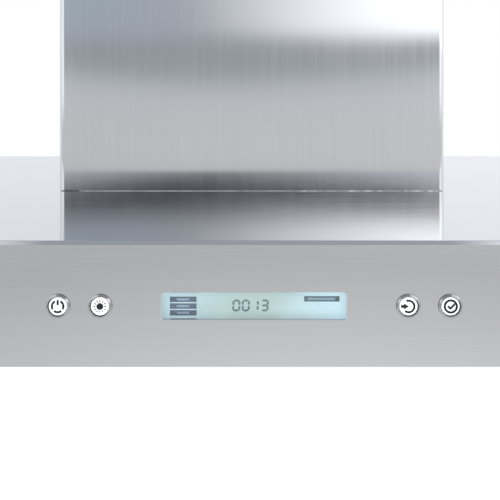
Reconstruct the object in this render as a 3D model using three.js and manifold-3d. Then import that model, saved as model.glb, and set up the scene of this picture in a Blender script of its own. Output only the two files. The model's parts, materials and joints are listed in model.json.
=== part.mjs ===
// Island range hood. Millimetres, +Z up, front towards -Y.
// The origin is the centre of the ceiling plate's top face, so the whole hood hangs below z = 0.
import * as THREE from 'three';
import { mergeVertices } from 'three/addons/utils/BufferGeometryUtils.js';
import Module from 'manifold-3d';

const wasm = await Module();
wasm.setup();

// ---------------------------------------------------------------- driving dimensions

const touchGap = 0.3;                 // between pieces that rest on or fasten to each other
const sides = { large: 32, medium: 24, small: 12, wire: 8 };   // facets round a circle
const past = 1;                       // how far a cutting shape runs past the face it cuts
const overallHeight = 862;            // ceiling to the bottom of the rim
const adjustTravel = 120;             // the canopy can be set this much higher or lower

const canopy = {
  width: 1067, depth: 600, rimHeight: 62,
  sheet: 1.2, edgeFold: 2.2, bottomFlange: 14,
};
const chimney = {
  width: 340, depth: 280, sheet: 1.2, cornerFold: 4.5,
  lowerCoverHeight: 430, coverOverlap: 60, slideGap: 1.3,
};
const vent = { count: 5, length: 150, height: 5, pitch: 15, topMargin: 45 };
const post = { leg: 28, thick: 2.5, slideGap: 0.4, wallGap: 3, lowerHeight: 525, overlap: 60 };
const brace = { height: 18, thick: 2, belowPostTop: 30 };
const ceilingPlate = {
  thick: 3, ductClearance: 21, tabHeight: 34, tabWidth: 60,
  slotLength: 16, slotWidth: 7, slotInset: 16,
};
const coverScrew = { shankRadius: 2.1, headRadius: 4.5, headHeight: 2.4, drop: 20, hole: 0.4 };

const fascia = {
  windowWidth: 90.8, windowHeight: 13.2, windowCorner: 0.8, belowMiddle: 0.8,
  buttonOffsets: [-96, -75.4, 75.4, 96],
  buttonNames: ['power', 'light', 'enter', 'confirm'],
};
const button = {
  ringRadius: 5.95, ringProud: 0.7, ringBore: 4.9, ringEdge: 0.3, barrelWall: 0.4, barrelDepth: 5,
  capRadius: 4.65, capProud: 0.5, capEdge: 0.5, capLength: 7, travel: 1.2, travelSpare: 0.3,
};
const display = { glassThick: 1.5, glassLap: 2.6, moduleLap: 2 };
const controls = {
  halfWidth: 106, wall: 1.5, panelGap: 0.6, boardThick: 1.6, backSpace: 16, boardMargin: 1.2,
};
const tactSwitch = { size: 6, body: 3.5, plungerRadius: 1.6, plungerLength: 1 };

const panel = { recess: 12, sheet: 1.2, wallGap: 0.4 };
const filter = {
  count: 3, thick: 10, frameBar: 12, sideMargin: 42, between: 16, endMargin: 135,
  sideGap: 1, frontGap: 1.2, rearGap: 3,
};
const baffle = { width: 15, lip: 3.6, sheet: 1, pitch: 21.5, bite: 1.5, faceInset: 0.4 };
const well = { wall: 1.2, ledge: 8, ledgeThick: 1.2 };
const hingePin = { radius: 2.5, inset: 5, reach: 5, bore: 0.5, swingRoom: 7 };
const bail = { width: 62, reach: 24, wire: 3.2, lugWidth: 5, lugWall: 2, pinGap: 0.35, frontInset: 6 };
const magnet = { thick: 2.4, width: 8, endInset: 20 };

const lamp = {
  flangeRadius: 37, bodyRadius: 33, wall: 1.4, flangeThick: 1.5, height: 24,
  lensThick: 2.4, lensInset: 0.5, fromSide: 64, fromEnd: 68,
};

const duct = {
  neckRadius: 74, neckWall: 1.5, neckHeight: 58, baseThick: 1.5, baseLap: 6,
  stopWidth: 4, stopThick: 1.2, stopRise: 8,
};
const flap = {
  clearance: 1.6, thick: 1, pinRadius: 2, pinGap: 0.5, edge: 4.6,
  knuckleRadius: 3.8, knuckleLength: 12, knuckleGap: 0.6,
};
const blower = {
  wheelRadius: 64, wheelDepth: 14, bladeCount: 18, bladeThick: 1.2, bladePitchDegrees: 35, bladeWidth: 11,
  endRing: 2.5, hubRadius: 12, backplate: 2, wheelEndGap: 8,
  cutoffDegrees: 72, cutoffGap: 7, scrollGrowth: 30, sheet: 1.2,
  throatMargin: 4, throatRise: 122, inletRadius: 50, inletSpace: 22, floorGap: 24,
};
const motor = {
  radius: 36, length: 46, edge: 4, armCount: 3, armWidth: 13, armThick: 2, armInner: 26, armReach: 62,
  shaftRadius: 4, shaftGap: 0.6, shaftDepth: 24, shaftEndGap: 3, standOff: 6,
};
const stand = {
  railWidth: 18, railThick: 3, railOffset: 60, railEndGap: 4,
  cheekThick: 2, cheekHalfWidth: 66, cheekLap: 24,
};
const powerBox = { halfWidth: 60, height: 80, wall: 1.5, ductGap: 8, wallGap: 4 };
const gland = { baseRadius: 11, baseHeight: 6, nutRadius: 9, nutHeight: 9, boreRadius: 4.5, offset: 30 };
const throatOpening = { sideMargin: 30, frontMargin: 26, rearMargin: 50 };

// ---------------------------------------------------------------- places worked out from them

const canopyTop = -(overallHeight - canopy.rimHeight);
const rimBottom = -overallHeight;
const halfWidth = canopy.width / 2;
const halfDepth = canopy.depth / 2;
const innerHalfWidth = halfWidth - canopy.sheet;
const innerHalfDepth = halfDepth - canopy.sheet;
const controlHeight = canopyTop - canopy.rimHeight / 2 - fascia.belowMiddle;
const panelBottom = rimBottom + panel.recess;
const panelTop = panelBottom + panel.sheet;

const chimneyRise = -canopyTop;
const upperCover = {
  halfWidth: chimney.width / 2 - chimney.sheet - chimney.slideGap,
  halfDepth: chimney.depth / 2 - chimney.sheet - chimney.slideGap,
  height: chimneyRise - chimney.lowerCoverHeight + adjustTravel + chimney.coverOverlap,
};
const upperPost = {
  x: upperCover.halfWidth - chimney.sheet - post.wallGap,
  y: upperCover.halfDepth - chimney.sheet - post.wallGap,
  height: chimneyRise - post.lowerHeight + adjustTravel + post.overlap,
};
const lowerPost = {
  x: upperPost.x - post.thick - post.slideGap,
  y: upperPost.y - post.thick - post.slideGap,
  top: canopyTop + touchGap + post.lowerHeight,
};
const bay = { halfWidth: lowerPost.x - post.thick, halfDepth: lowerPost.y - post.thick };

const blowerHalfWidth = bay.halfWidth - motor.length - motor.standOff - blower.inletSpace;
const throatHalfDepth = duct.neckRadius + blower.throatMargin;
const scrollEnd = blower.wheelRadius + blower.cutoffGap + blower.scrollGrowth;
const wheelY = throatHalfDepth - scrollEnd;
const wheelZ = canopyTop + blower.floorGap + scrollEnd;
const throatTop = wheelZ + blower.throatRise;
const collarBase = throatTop + touchGap;
const flapAxisZ = collarBase + duct.baseThick + duct.stopRise + duct.stopThick + flap.thick / 2 + touchGap;

const filterSpan = canopy.width - 2 * filter.sideMargin - (filter.count - 1) * filter.between;
const filterWidth = filterSpan / filter.count;
const filterRear = halfDepth - filter.endMargin;
const filterFront = -filterRear;
const filterTop = panelBottom + filter.thick;
const filterHinge = { y: filterRear - hingePin.inset, z: panelBottom + hingePin.inset };
const ledgeBottom = filterTop + touchGap;

// ---------------------------------------------------------------- finishes

function finish(color, roughness, metalness) {
  return new THREE.MeshStandardMaterial({ color, roughness, metalness });
}

const brushedSteel = finish(0xb9b9ba, 0.35, 1);
const galvanised = finish(0xa7abae, 0.5, 0.9);
const darkChrome = finish(0x6f7376, 0.25, 1);
const whiteCap = finish(0xf4f5f6, 0.35, 0);
const smokedWindow = finish(0xbfe0ea, 0.15, 0);
const displayPlastic = finish(0x2c3a3e, 0.5, 0);
const boardGreen = finish(0x1f6b45, 0.6, 0);
const blackPlastic = finish(0x1d1e20, 0.55, 0);
const castAlloy = finish(0x8f9396, 0.6, 0.8);
const frostedGlass = finish(0xf3f1e8, 0.3, 0);

// ---------------------------------------------------------------- solid helpers

function solidFrom(geometry) {
  const bare = geometry.clone();
  bare.deleteAttribute('normal');
  bare.deleteAttribute('uv');
  const merged = mergeVertices(bare, 1e-4);
  return new wasm.Manifold(new wasm.Mesh({
    numProp: 3,
    vertProperties: new Float32Array(merged.attributes.position.array),
    triVerts: new Uint32Array(merged.index.array),
  }));
}

function geometryFrom(solid) {
  const mesh = solid.getMesh();
  const geometry = new THREE.BufferGeometry();
  geometry.setAttribute('position', new THREE.BufferAttribute(new Float32Array(mesh.vertProperties), 3));
  geometry.setIndex(new THREE.BufferAttribute(new Uint32Array(mesh.triVerts), 1));
  geometry.computeVertexNormals();
  return geometry;
}

function unite(solids) {
  return solids.reduce((joined, next) => joined.add(next));
}

// A box between two corners; each pair of ends may run either way.
function block(x0, x1, y0, y1, z0, z1) {
  const geometry = new THREE.BoxGeometry(Math.abs(x1 - x0), Math.abs(y1 - y0), Math.abs(z1 - z0));
  geometry.translate((x0 + x1) / 2, (y0 + y1) / 2, (z0 + z1) / 2);
  return solidFrom(geometry);
}

// A turned piece: profile points are [radius, height], turned round Z. They may run either way round.
function turned(profile, segments) {
  const points = profile.map(([radius, height]) => new THREE.Vector2(radius, height));
  const runsUp = THREE.ShapeUtils.area(points) > 0;
  const geometry = new THREE.LatheGeometry(runsUp ? points : points.reverse(), segments);
  geometry.rotateX(Math.PI / 2);
  return solidFrom(geometry);
}

function ring(outer, inner, z0, z1, segments) {
  return turned([[inner, z0], [outer, z0], [outer, z1], [inner, z1], [inner, z0]], segments);
}

function disc(radius, z0, z1, segments) {
  return turned([[0, z0], [radius, z0], [radius, z1], [0, z1]], segments);
}

// A box centred on the Z axis.
function slab(halfX, halfY, z0, z1) {
  return block(-halfX, halfX, -halfY, halfY, z0, z1);
}

// Turns a solid made round Z so that its axis lies along X or along Y.
function alongX(solid) {
  return solid.rotate([0, 90, 0]);
}

function alongY(solid) {
  return solid.rotate([-90, 0, 0]);
}

// A round bar along X, centred on the origin.
function barX(radius, halfLength) {
  return alongX(disc(radius, -halfLength, halfLength, sides.small));
}

function roundedRectangle(halfX, halfY, corner) {
  const shape = new THREE.Shape();
  shape.moveTo(-halfX + corner, -halfY);
  shape.lineTo(halfX - corner, -halfY);
  shape.absarc(halfX - corner, -halfY + corner, corner, -Math.PI / 2, 0);
  shape.lineTo(halfX, halfY - corner);
  shape.absarc(halfX - corner, halfY - corner, corner, 0, Math.PI / 2);
  shape.lineTo(-halfX + corner, halfY);
  shape.absarc(-halfX + corner, halfY - corner, corner, Math.PI / 2, Math.PI);
  shape.lineTo(-halfX, -halfY + corner);
  shape.absarc(-halfX + corner, -halfY + corner, corner, Math.PI, Math.PI * 1.5);
  return shape;
}

// A column with rounded upright corners between two heights.
function roundedColumn(halfX, halfY, corner, z0, z1) {
  const geometry = new THREE.ExtrudeGeometry(roundedRectangle(halfX, halfY, corner), {
    depth: z1 - z0, bevelEnabled: false, curveSegments: 4,
  });
  geometry.translate(0, 0, z0);
  return solidFrom(geometry);
}

// A folded box, open below: upright corners and top edges are rounded by the same fold.
function foldedBox(halfX, halfY, fold, z0, z1) {
  const sharpCorner = 0.01;
  const geometry = new THREE.ExtrudeGeometry(roundedRectangle(halfX - fold, halfY - fold, sharpCorner), {
    depth: z1 - z0, curveSegments: 1,
    bevelEnabled: true, bevelSize: fold, bevelThickness: fold, bevelSegments: 3,
  });
  geometry.translate(0, 0, z0 - fold);
  const below = slab(halfX + fold, halfY + fold, z0 - 3 * fold, z0);
  return solidFrom(geometry).subtract(below);
}

// ---------------------------------------------------------------- scene graph

const hood = new THREE.Group();
hood.name = 'island_range_hood';

function place(name, solid, material, position = [0, 0, 0]) {
  const mesh = new THREE.Mesh(geometryFrom(solid), material);
  mesh.name = name;
  mesh.position.set(...position);
  hood.add(mesh);
  return mesh;
}

const corners = [
  { name: 'front_left', x: -1, y: -1 }, { name: 'front_right', x: 1, y: -1 },
  { name: 'rear_left', x: -1, y: 1 }, { name: 'rear_right', x: 1, y: 1 },
];

// ---------------------------------------------------------------- ceiling side

// Four slotted screw places, a round duct hole, and a tab each side that the cover is screwed to.
function ceilingPlateSolid() {
  const halfX = upperCover.halfWidth - chimney.sheet - post.wallGap;
  const halfY = upperCover.halfDepth - chimney.sheet - post.wallGap;
  const under = -ceilingPlate.thick - past;
  const halfTab = ceilingPlate.tabWidth / 2;
  let plate = slab(halfX, halfY, -ceilingPlate.thick, 0);
  plate = plate.subtract(disc(duct.neckRadius + ceilingPlate.ductClearance, under, past, sides.large));
  for (const corner of corners) {
    const x = corner.x * (halfX - post.leg - ceilingPlate.slotInset);
    const y = corner.y * (halfY - ceilingPlate.slotInset);
    const slot = slab(ceilingPlate.slotLength / 2, ceilingPlate.slotWidth / 2, under, past);
    plate = plate.subtract(slot.translate([x, y, 0]));
  }
  for (const side of [-1, 1]) {
    const outer = side * (upperCover.halfWidth - chimney.sheet - touchGap);
    const inner = outer - side * ceilingPlate.thick;
    const tab = block(inner, outer, -halfTab, halfTab, -ceilingPlate.tabHeight, 0);
    const bridge = block(side * (halfX - past), outer, -halfTab, halfTab, -ceilingPlate.thick, 0);
    const screwHole = barX(coverScrew.shankRadius + coverScrew.hole, 2 * ceilingPlate.thick);
    plate = plate.add(tab).add(bridge).subtract(screwHole.translate([outer, 0, -coverScrew.drop]));
  }
  return plate;
}

// A tube with rounded upright corners, open at both ends.
function coverTube(halfX, halfY, z0, z1) {
  const fold = chimney.cornerFold;
  const sheet = chimney.sheet;
  const bore = roundedColumn(halfX - sheet, halfY - sheet, fold - sheet, z0 - past, z1 + past);
  return roundedColumn(halfX, halfY, fold, z0, z1).subtract(bore);
}

function upperCoverSolid() {
  const reach = upperCover.halfWidth + past;
  let cover = coverTube(upperCover.halfWidth, upperCover.halfDepth, -upperCover.height, -touchGap);
  for (let i = 0; i < vent.count; i += 1) {
    const top = -vent.topMargin - i * vent.pitch;
    cover = cover.subtract(slab(reach, vent.length / 2, top - vent.height, top));
  }
  const screwHoles = barX(coverScrew.shankRadius + coverScrew.hole, reach);
  return cover.subtract(screwHoles.translate([0, 0, -coverScrew.drop]));
}

// The screw's head is outside the cover and its shank ends inside the plate's tab.
function coverScrewSolid() {
  const grip = chimney.sheet + ceilingPlate.thick + touchGap;
  const headTop = touchGap + coverScrew.headHeight;
  return turned([
    [0, -grip], [coverScrew.shankRadius, -grip], [coverScrew.shankRadius, touchGap],
    [coverScrew.headRadius, touchGap], [coverScrew.headRadius * 0.8, headTop], [0, headTop],
  ], sides.small);
}

// An L-angle with its outer corner at the given place, in the given corner of the chimney.
function angleSolid(corner, outer, z0, z1) {
  const x = corner.x * outer.x;
  const y = corner.y * outer.y;
  const legX = block(x - corner.x * post.leg, x, y - corner.y * post.thick, y, z0, z1);
  const legY = block(x - corner.x * post.thick, x, y - corner.y * post.leg, y, z0, z1);
  return legX.add(legY);
}

function buildCeilingSide() {
  place('ceiling_plate', ceilingPlateSolid(), galvanised);
  for (const corner of corners) {
    const top = -ceilingPlate.thick - touchGap;
    const angle = angleSolid(corner, upperPost, top - upperPost.height, top);
    place(`upper_post_${corner.name}`, angle, galvanised);
  }
  place('upper_chimney_cover', upperCoverSolid(), brushedSteel);
  for (const [name, side] of [['left', -1], ['right', 1]]) {
    const screw = alongX(coverScrewSolid());
    place(`cover_screw_${name}`, side < 0 ? screw.mirror([1, 0, 0]) : screw, darkChrome,
      [side * upperCover.halfWidth, 0, -coverScrew.drop]);
  }
}

// ---------------------------------------------------------------- canopy and chimney

// One folded sheet: top, four rims and an inward bottom flange, pierced for the blower and the controls.
function canopyShellSolid() {
  const sheet = canopy.sheet;
  const mouthX = halfWidth - canopy.bottomFlange;
  const mouthY = halfDepth - canopy.bottomFlange;
  const outer = foldedBox(halfWidth, halfDepth, canopy.edgeFold, rimBottom, canopyTop);
  const inner = foldedBox(innerHalfWidth, innerHalfDepth, canopy.edgeFold - sheet,
    rimBottom + sheet, canopyTop - sheet);
  let shell = outer.subtract(inner).subtract(slab(mouthX, mouthY, rimBottom - past, rimBottom + 2 * sheet));
  const airX = bay.halfWidth - throatOpening.sideMargin;
  const airFront = -bay.halfDepth + throatOpening.frontMargin;
  const airRear = bay.halfDepth - throatOpening.rearMargin;
  shell = shell.subtract(block(-airX, airX, airFront, airRear, canopyTop - sheet - past, canopyTop + past));
  const depth = 2 * sheet;
  const { windowWidth, windowHeight, windowCorner } = fascia;
  const windowHole = roundedColumn(windowWidth / 2, windowHeight / 2, windowCorner, -depth, depth);
  shell = shell.subtract(alongY(windowHole).translate([0, -halfDepth, controlHeight]));
  const barrelHole = button.ringBore + button.barrelWall + touchGap;
  const buttonHole = alongY(disc(barrelHole, -depth, depth, sides.medium));
  for (const x of fascia.buttonOffsets) {
    shell = shell.subtract(buttonHole.translate([x, -halfDepth, controlHeight]));
  }
  return shell;
}

function lowerCoverSolid() {
  const bottom = canopyTop + touchGap;
  return coverTube(chimney.width / 2, chimney.depth / 2, bottom, bottom + chimney.lowerCoverHeight);
}

function braceRingSolid() {
  const top = lowerPost.top - brace.belowPostTop;
  const bottom = top - brace.height;
  const halfX = bay.halfWidth - touchGap;
  const halfY = bay.halfDepth - touchGap;
  return slab(halfX, halfY, bottom, top)
    .subtract(slab(halfX - brace.thick, halfY - brace.thick, bottom - past, top + past));
}

function filterCentres() {
  const pitch = filterWidth + filter.between;
  return ['left', 'centre', 'right'].map((name, i) => ({ name, x: (i - 1) * pitch }));
}

function lampPlaces() {
  return corners.map((corner) => ({
    name: corner.name,
    x: corner.x * (halfWidth - lamp.fromSide),
    y: corner.y * (halfDepth - lamp.fromEnd),
  }));
}

// A tray that rests on the rim's flange: three wells that hold the filters, and four lamp holes.
function bottomPanelSolid() {
  const halfX = innerHalfWidth - panel.wallGap;
  const halfY = innerHalfDepth - panel.wallGap;
  const lipBottom = rimBottom + canopy.sheet + touchGap;
  const wellTop = ledgeBottom + well.ledgeThick;
  const front = filterFront - filter.frontGap;
  const rear = filterRear + filter.rearGap;
  const swingFront = filterHinge.y - hingePin.swingRoom;
  const pinBore = barX(hingePin.radius + hingePin.bore, filterWidth / 2 + filter.sideGap + 2 * well.wall);
  const lampHole = disc(lamp.bodyRadius + touchGap, panelBottom - past, panelTop + past, sides.medium);
  let tray = slab(halfX, halfY, lipBottom, panelTop);
  tray = tray.subtract(slab(halfX - panel.sheet, halfY - panel.sheet, lipBottom - past, panelBottom));
  for (const centre of filterCentres()) {
    const left = centre.x - filterWidth / 2 - filter.sideGap;
    const right = centre.x + filterWidth / 2 + filter.sideGap;
    const inLeft = left + well.ledge;
    const inRight = right - well.ledge;
    const wall = well.wall;
    tray = tray
      .add(block(left - wall, right + wall, front - wall, rear + wall, panelBottom, wellTop))
      .subtract(block(left, right, front, rear, panelBottom - past, ledgeBottom))
      .subtract(block(inLeft, inRight, front + well.ledge, rear, ledgeBottom - past, wellTop + past))
      .subtract(block(left, right, swingFront, rear, ledgeBottom - past, wellTop + past))
      .subtract(pinBore.translate([centre.x, filterHinge.y, filterHinge.z]));
  }
  for (const spot of lampPlaces()) {
    tray = tray.subtract(lampHole.translate([spot.x, spot.y, 0]));
  }
  return tray;
}

function magnetStripSolid() {
  const half = halfWidth - filter.sideMargin - magnet.endInset;
  const bottom = ledgeBottom + well.ledgeThick + touchGap;
  return block(-half, half, filterFront, filterFront + magnet.width, bottom, bottom + magnet.thick);
}

function buildCanopy() {
  place('canopy_shell', canopyShellSolid(), brushedSteel);
  place('bottom_panel', bottomPanelSolid(), brushedSteel);
  place('filter_magnet_strip', magnetStripSolid(), blackPlastic);
  for (const corner of corners) {
    const angle = angleSolid(corner, lowerPost, canopyTop + touchGap, lowerPost.top);
    place(`lower_post_${corner.name}`, angle, galvanised);
  }
  place('post_brace_ring', braceRingSolid(), galvanised);
  place('lower_chimney_cover', lowerCoverSolid(), brushedSteel);
}

// ---------------------------------------------------------------- filters

// A shallow U channel that runs front to back; open side up or down.
function baffleSolid(openUp, z) {
  const half = baffle.width / 2;
  const shape = new THREE.Shape();
  const lip = openUp ? baffle.lip : -baffle.lip;
  const sheet = openUp ? baffle.sheet : -baffle.sheet;
  shape.moveTo(-half, 0);
  shape.lineTo(half, 0);
  shape.lineTo(half, lip);
  shape.lineTo(half - baffle.sheet, lip);
  shape.lineTo(half - baffle.sheet, sheet);
  shape.lineTo(-half + baffle.sheet, sheet);
  shape.lineTo(-half + baffle.sheet, lip);
  shape.lineTo(-half, lip);
  shape.closePath();
  const length = filterRear - filterFront - 2 * (filter.frameBar - baffle.bite);
  const geometry = new THREE.ExtrudeGeometry(shape, { depth: length, bevelEnabled: false });
  geometry.rotateX(Math.PI / 2);
  geometry.translate(0, length / 2, z);
  return solidFrom(geometry);
}

// Frame and baffles welded into one panel, with a hinge stub each side and a pair of bail lugs.
function filterSolid() {
  const half = filterWidth / 2;
  const bar = filter.frameBar;
  const frame = slab(half, filterRear, panelBottom, filterTop)
    .subtract(slab(half - bar, filterRear - bar, panelBottom - past, filterTop + past));
  const pieces = [frame];
  const lowerCount = Math.floor((filterWidth - 2 * bar - baffle.width) / baffle.pitch) + 1;
  const start = -((lowerCount - 1) * baffle.pitch) / 2;
  const lowerChannel = baffleSolid(true, panelBottom + baffle.faceInset);
  const upperChannel = baffleSolid(false, filterTop - baffle.faceInset);
  for (let i = 0; i < lowerCount; i += 1) {
    pieces.push(lowerChannel.translate([start + i * baffle.pitch, 0, 0]));
    if (i < lowerCount - 1) {
      pieces.push(upperChannel.translate([start + (i + 0.5) * baffle.pitch, 0, 0]));
    }
  }
  const stub = alongX(disc(hingePin.radius, -past, hingePin.reach, sides.small));
  pieces.push(stub.translate([half, filterHinge.y, filterHinge.z]));
  pieces.push(stub.mirror([1, 0, 0]).translate([-half, filterHinge.y, filterHinge.z]));
  for (const side of [-1, 1]) {
    pieces.push(bailLugSolid().translate([side * bailLugX, 0, 0]));
  }
  return unite(pieces);
}

const bailRadius = bail.wire / 2;
const bailPivot = { y: filterFront + bail.frontInset, z: panelBottom - bailRadius - touchGap };
const bailLugX = bail.width / 2 + bailRadius + touchGap + bail.lugWidth / 2;

// A block under the front bar with a bore that the bail's pin turns in.
function bailLugSolid() {
  const half = bail.lugWidth / 2;
  const reach = bailRadius + bail.lugWall;
  const { y, z } = bailPivot;
  const bore = barX(bailRadius + bail.pinGap, half + past).translate([0, y, z]);
  return block(-half, half, y - reach, y + reach, z - reach, panelBottom + past).subtract(bore);
}

// Half of the bail's centre line, from the middle of the grip to the end of the right pin.
function bailHalfLine() {
  const arm = bail.width / 2 - bailRadius;
  const { reach } = bail;
  const gripBend = 3 * bailRadius;
  const pinBend = 2 * bailRadius;
  const point = (x, y) => new THREE.Vector3(x, y, 0);
  const bend = (from, through, to) => new THREE.QuadraticBezierCurve3(from, through, to);
  const bends = [
    bend(point(arm - gripBend, reach), point(arm, reach), point(arm, reach - gripBend)),
    bend(point(arm, pinBend), point(arm, 0), point(arm + pinBend, 0)),
  ];
  return [...bends.flatMap((curve) => curve.getPoints(3)), point(bail.width / 2 + bail.lugWidth, 0)];
}

// A D-shaped wire: two arms, a grip, and a pin at each end that turns in its lug.
function bailSolid() {
  const right = bailHalfLine();
  const left = right.map((point) => new THREE.Vector3(-point.x, point.y, 0)).reverse();
  return wireSolid([...left, ...right], bailRadius).translate([0, bailPivot.y, bailPivot.z]);
}

// A round wire whose centre line lies in the XY plane: a section carried along mitred corners.
function wireSolid(points, radius) {
  const sideCount = sides.wire;
  const position = [];
  const index = [];
  points.forEach((centre, i) => {
    const before = points[Math.max(i - 1, 0)];
    const after = points[Math.min(i + 1, points.length - 1)];
    const along = after.clone().sub(before).normalize();
    for (let k = 0; k < sideCount; k += 1) {
      const angle = (2 * Math.PI * (k + 0.5)) / sideCount;
      const out = radius * Math.cos(angle);
      const up = radius * Math.sin(angle);
      position.push(centre.x - along.y * out, centre.y + along.x * out, centre.z + up);
    }
  });
  for (let i = 0; i < points.length - 1; i += 1) {
    for (let k = 0; k < sideCount; k += 1) {
      const a = i * sideCount + k;
      const b = i * sideCount + ((k + 1) % sideCount);
      index.push(a, b, a + sideCount, b, b + sideCount, a + sideCount);
    }
  }
  const last = (points.length - 1) * sideCount;
  for (let k = 1; k < sideCount - 1; k += 1) {
    index.push(0, k + 1, k);
    index.push(last, last + k, last + k + 1);
  }
  const geometry = new THREE.BufferGeometry();
  geometry.setAttribute('position', new THREE.Float32BufferAttribute(position, 3));
  geometry.setIndex(index);
  return solidFrom(geometry);
}

function buildFilters() {
  const filterBody = filterSolid();
  const bailBody = bailSolid();
  for (const centre of filterCentres()) {
    place(`filter_${centre.name}`, filterBody, brushedSteel, [centre.x, 0, 0]);
    place(`filter_bail_${centre.name}`, bailBody, darkChrome, [centre.x, 0, 0]);
  }
}

// ---------------------------------------------------------------- lamps

// A cup that opens downwards, with the trim flange below the panel.
function lampHousingSolid() {
  const flangeTop = panelBottom - touchGap;
  const flangeBottom = flangeTop - lamp.flangeThick;
  const top = flangeTop + lamp.height;
  const inner = lamp.bodyRadius - lamp.wall;
  return turned([
    [inner, flangeBottom], [lamp.flangeRadius, flangeBottom], [lamp.flangeRadius, flangeTop],
    [lamp.bodyRadius, flangeTop], [lamp.bodyRadius, top], [0, top], [0, top - lamp.wall],
    [inner, top - lamp.wall], [inner, flangeBottom],
  ], sides.medium);
}

function lampLensSolid() {
  const bottom = panelBottom - touchGap - lamp.flangeThick + lamp.lensInset;
  return disc(lamp.bodyRadius - lamp.wall - touchGap, bottom, bottom + lamp.lensThick, sides.medium);
}

function buildLamps() {
  const housing = lampHousingSolid();
  const lens = lampLensSolid();
  for (const spot of lampPlaces()) {
    place(`lamp_housing_${spot.name}`, housing, darkChrome, [spot.x, spot.y, 0]);
    place(`lamp_lens_${spot.name}`, lens, frostedGlass, [spot.x, spot.y, 0]);
  }
}

// ---------------------------------------------------------------- controls in the front rim

// Depths below are measured back from the rim's front face.
const capBack = button.capLength - button.capProud;
const plungerFace = capBack + button.travel + button.travelSpare;
const boardFace = plungerFace + tactSwitch.plungerLength + tactSwitch.body + touchGap;
const glassFace = canopy.sheet + touchGap;
const moduleFace = glassFace + display.glassThick + touchGap;
const panelRise = panel.recess + panel.sheet + fascia.belowMiddle;
const housingHalfHeight = canopy.rimHeight / 2 - panelRise - controls.panelGap;

function controlHousingSolid() {
  const halfX = controls.halfWidth;
  const halfZ = housingHalfHeight;
  const wall = controls.wall;
  const inX = halfX - wall;
  const inZ = halfZ - wall;
  const back = boardFace + controls.boardThick + controls.backSpace;
  return block(-halfX, halfX, glassFace, back, -halfZ, halfZ)
    .subtract(block(-inX, inX, glassFace - past, back - wall, -inZ, inZ));
}

function controlBoardSolid() {
  const halfX = controls.halfWidth - controls.wall - controls.boardMargin;
  const halfZ = housingHalfHeight - controls.wall - controls.boardMargin;
  return block(-halfX, halfX, boardFace, boardFace + controls.boardThick, -halfZ, halfZ);
}

function displayWindowSolid() {
  const halfX = fascia.windowWidth / 2 + display.glassLap;
  const halfZ = fascia.windowHeight / 2 + display.glassLap;
  return block(-halfX, halfX, glassFace, glassFace + display.glassThick, -halfZ, halfZ);
}

function displayModuleSolid() {
  const halfX = fascia.windowWidth / 2 + display.moduleLap;
  const halfZ = fascia.windowHeight / 2 + display.moduleLap;
  return block(-halfX, halfX, moduleFace, boardFace - touchGap, -halfZ, halfZ);
}

// The lathe's Z becomes the depth into the rim.
function buttonRingSolid() {
  const bore = button.ringBore;
  const barrel = bore + button.barrelWall;
  const back = -touchGap;
  const front = back - button.ringProud;
  const edge = button.ringEdge;
  return alongY(turned([
    [bore, front + edge], [bore + edge, front], [button.ringRadius - edge, front],
    [button.ringRadius, front + edge], [button.ringRadius, back], [barrel, back],
    [barrel, button.barrelDepth], [bore, button.barrelDepth], [bore, front + edge],
  ], sides.medium));
}

function buttonCapSolid() {
  const front = -button.capProud;
  const edge = button.capEdge;
  return alongY(turned([
    [0, front], [button.capRadius - edge, front], [button.capRadius - 0.3 * edge, front + 0.3 * edge],
    [button.capRadius, front + edge], [button.capRadius, capBack], [0, capBack],
  ], sides.medium));
}

function tactSwitchSolid() {
  const half = tactSwitch.size / 2;
  const bodyFace = plungerFace + tactSwitch.plungerLength;
  const body = block(-half, half, bodyFace, bodyFace + tactSwitch.body, -half, half);
  return body.add(alongY(disc(tactSwitch.plungerRadius, plungerFace, bodyFace + past, sides.small)));
}

function buildControls() {
  const front = [0, -halfDepth, controlHeight];
  place('control_housing', controlHousingSolid(), blackPlastic, front);
  place('control_board', controlBoardSolid(), boardGreen, front);
  place('display_module', displayModuleSolid(), displayPlastic, front);
  place('display_window', displayWindowSolid(), smokedWindow, front);
  const ringBody = buttonRingSolid();
  const capBody = buttonCapSolid();
  const switchBody = tactSwitchSolid();
  fascia.buttonNames.forEach((name, i) => {
    const spot = [fascia.buttonOffsets[i], -halfDepth, controlHeight];
    place(`button_ring_${name}`, ringBody, darkChrome, spot);
    place(`button_cap_${name}`, capBody, whiteCap, spot);
    place(`tact_switch_${name}`, switchBody, blackPlastic, spot);
  });
}

// ---------------------------------------------------------------- blower

const cutoffAngle = THREE.MathUtils.degToRad(blower.cutoffDegrees);
const scrollSteps = 36;

// Radius of the scroll at an angle measured from +Y towards +Z; it grows from the cut-off to the throat.
function scrollRadius(angle) {
  const turn = (angle - cutoffAngle) / (2 * Math.PI - cutoffAngle);
  return blower.wheelRadius + blower.cutoffGap + blower.scrollGrowth * turn;
}

// Outline in Y and Z about the wheel's centre: round the scroll, then up the throat.
function scrollOutline() {
  const points = [];
  for (let i = 0; i <= scrollSteps; i += 1) {
    const angle = cutoffAngle + ((2 * Math.PI - cutoffAngle) * i) / scrollSteps;
    const radius = scrollRadius(angle);
    points.push(new THREE.Vector2(radius * Math.cos(angle), radius * Math.sin(angle)));
  }
  points.push(new THREE.Vector2(scrollEnd, blower.throatRise));
  points.push(new THREE.Vector2(scrollEnd - 2 * throatHalfDepth, blower.throatRise));
  return points;
}

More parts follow.
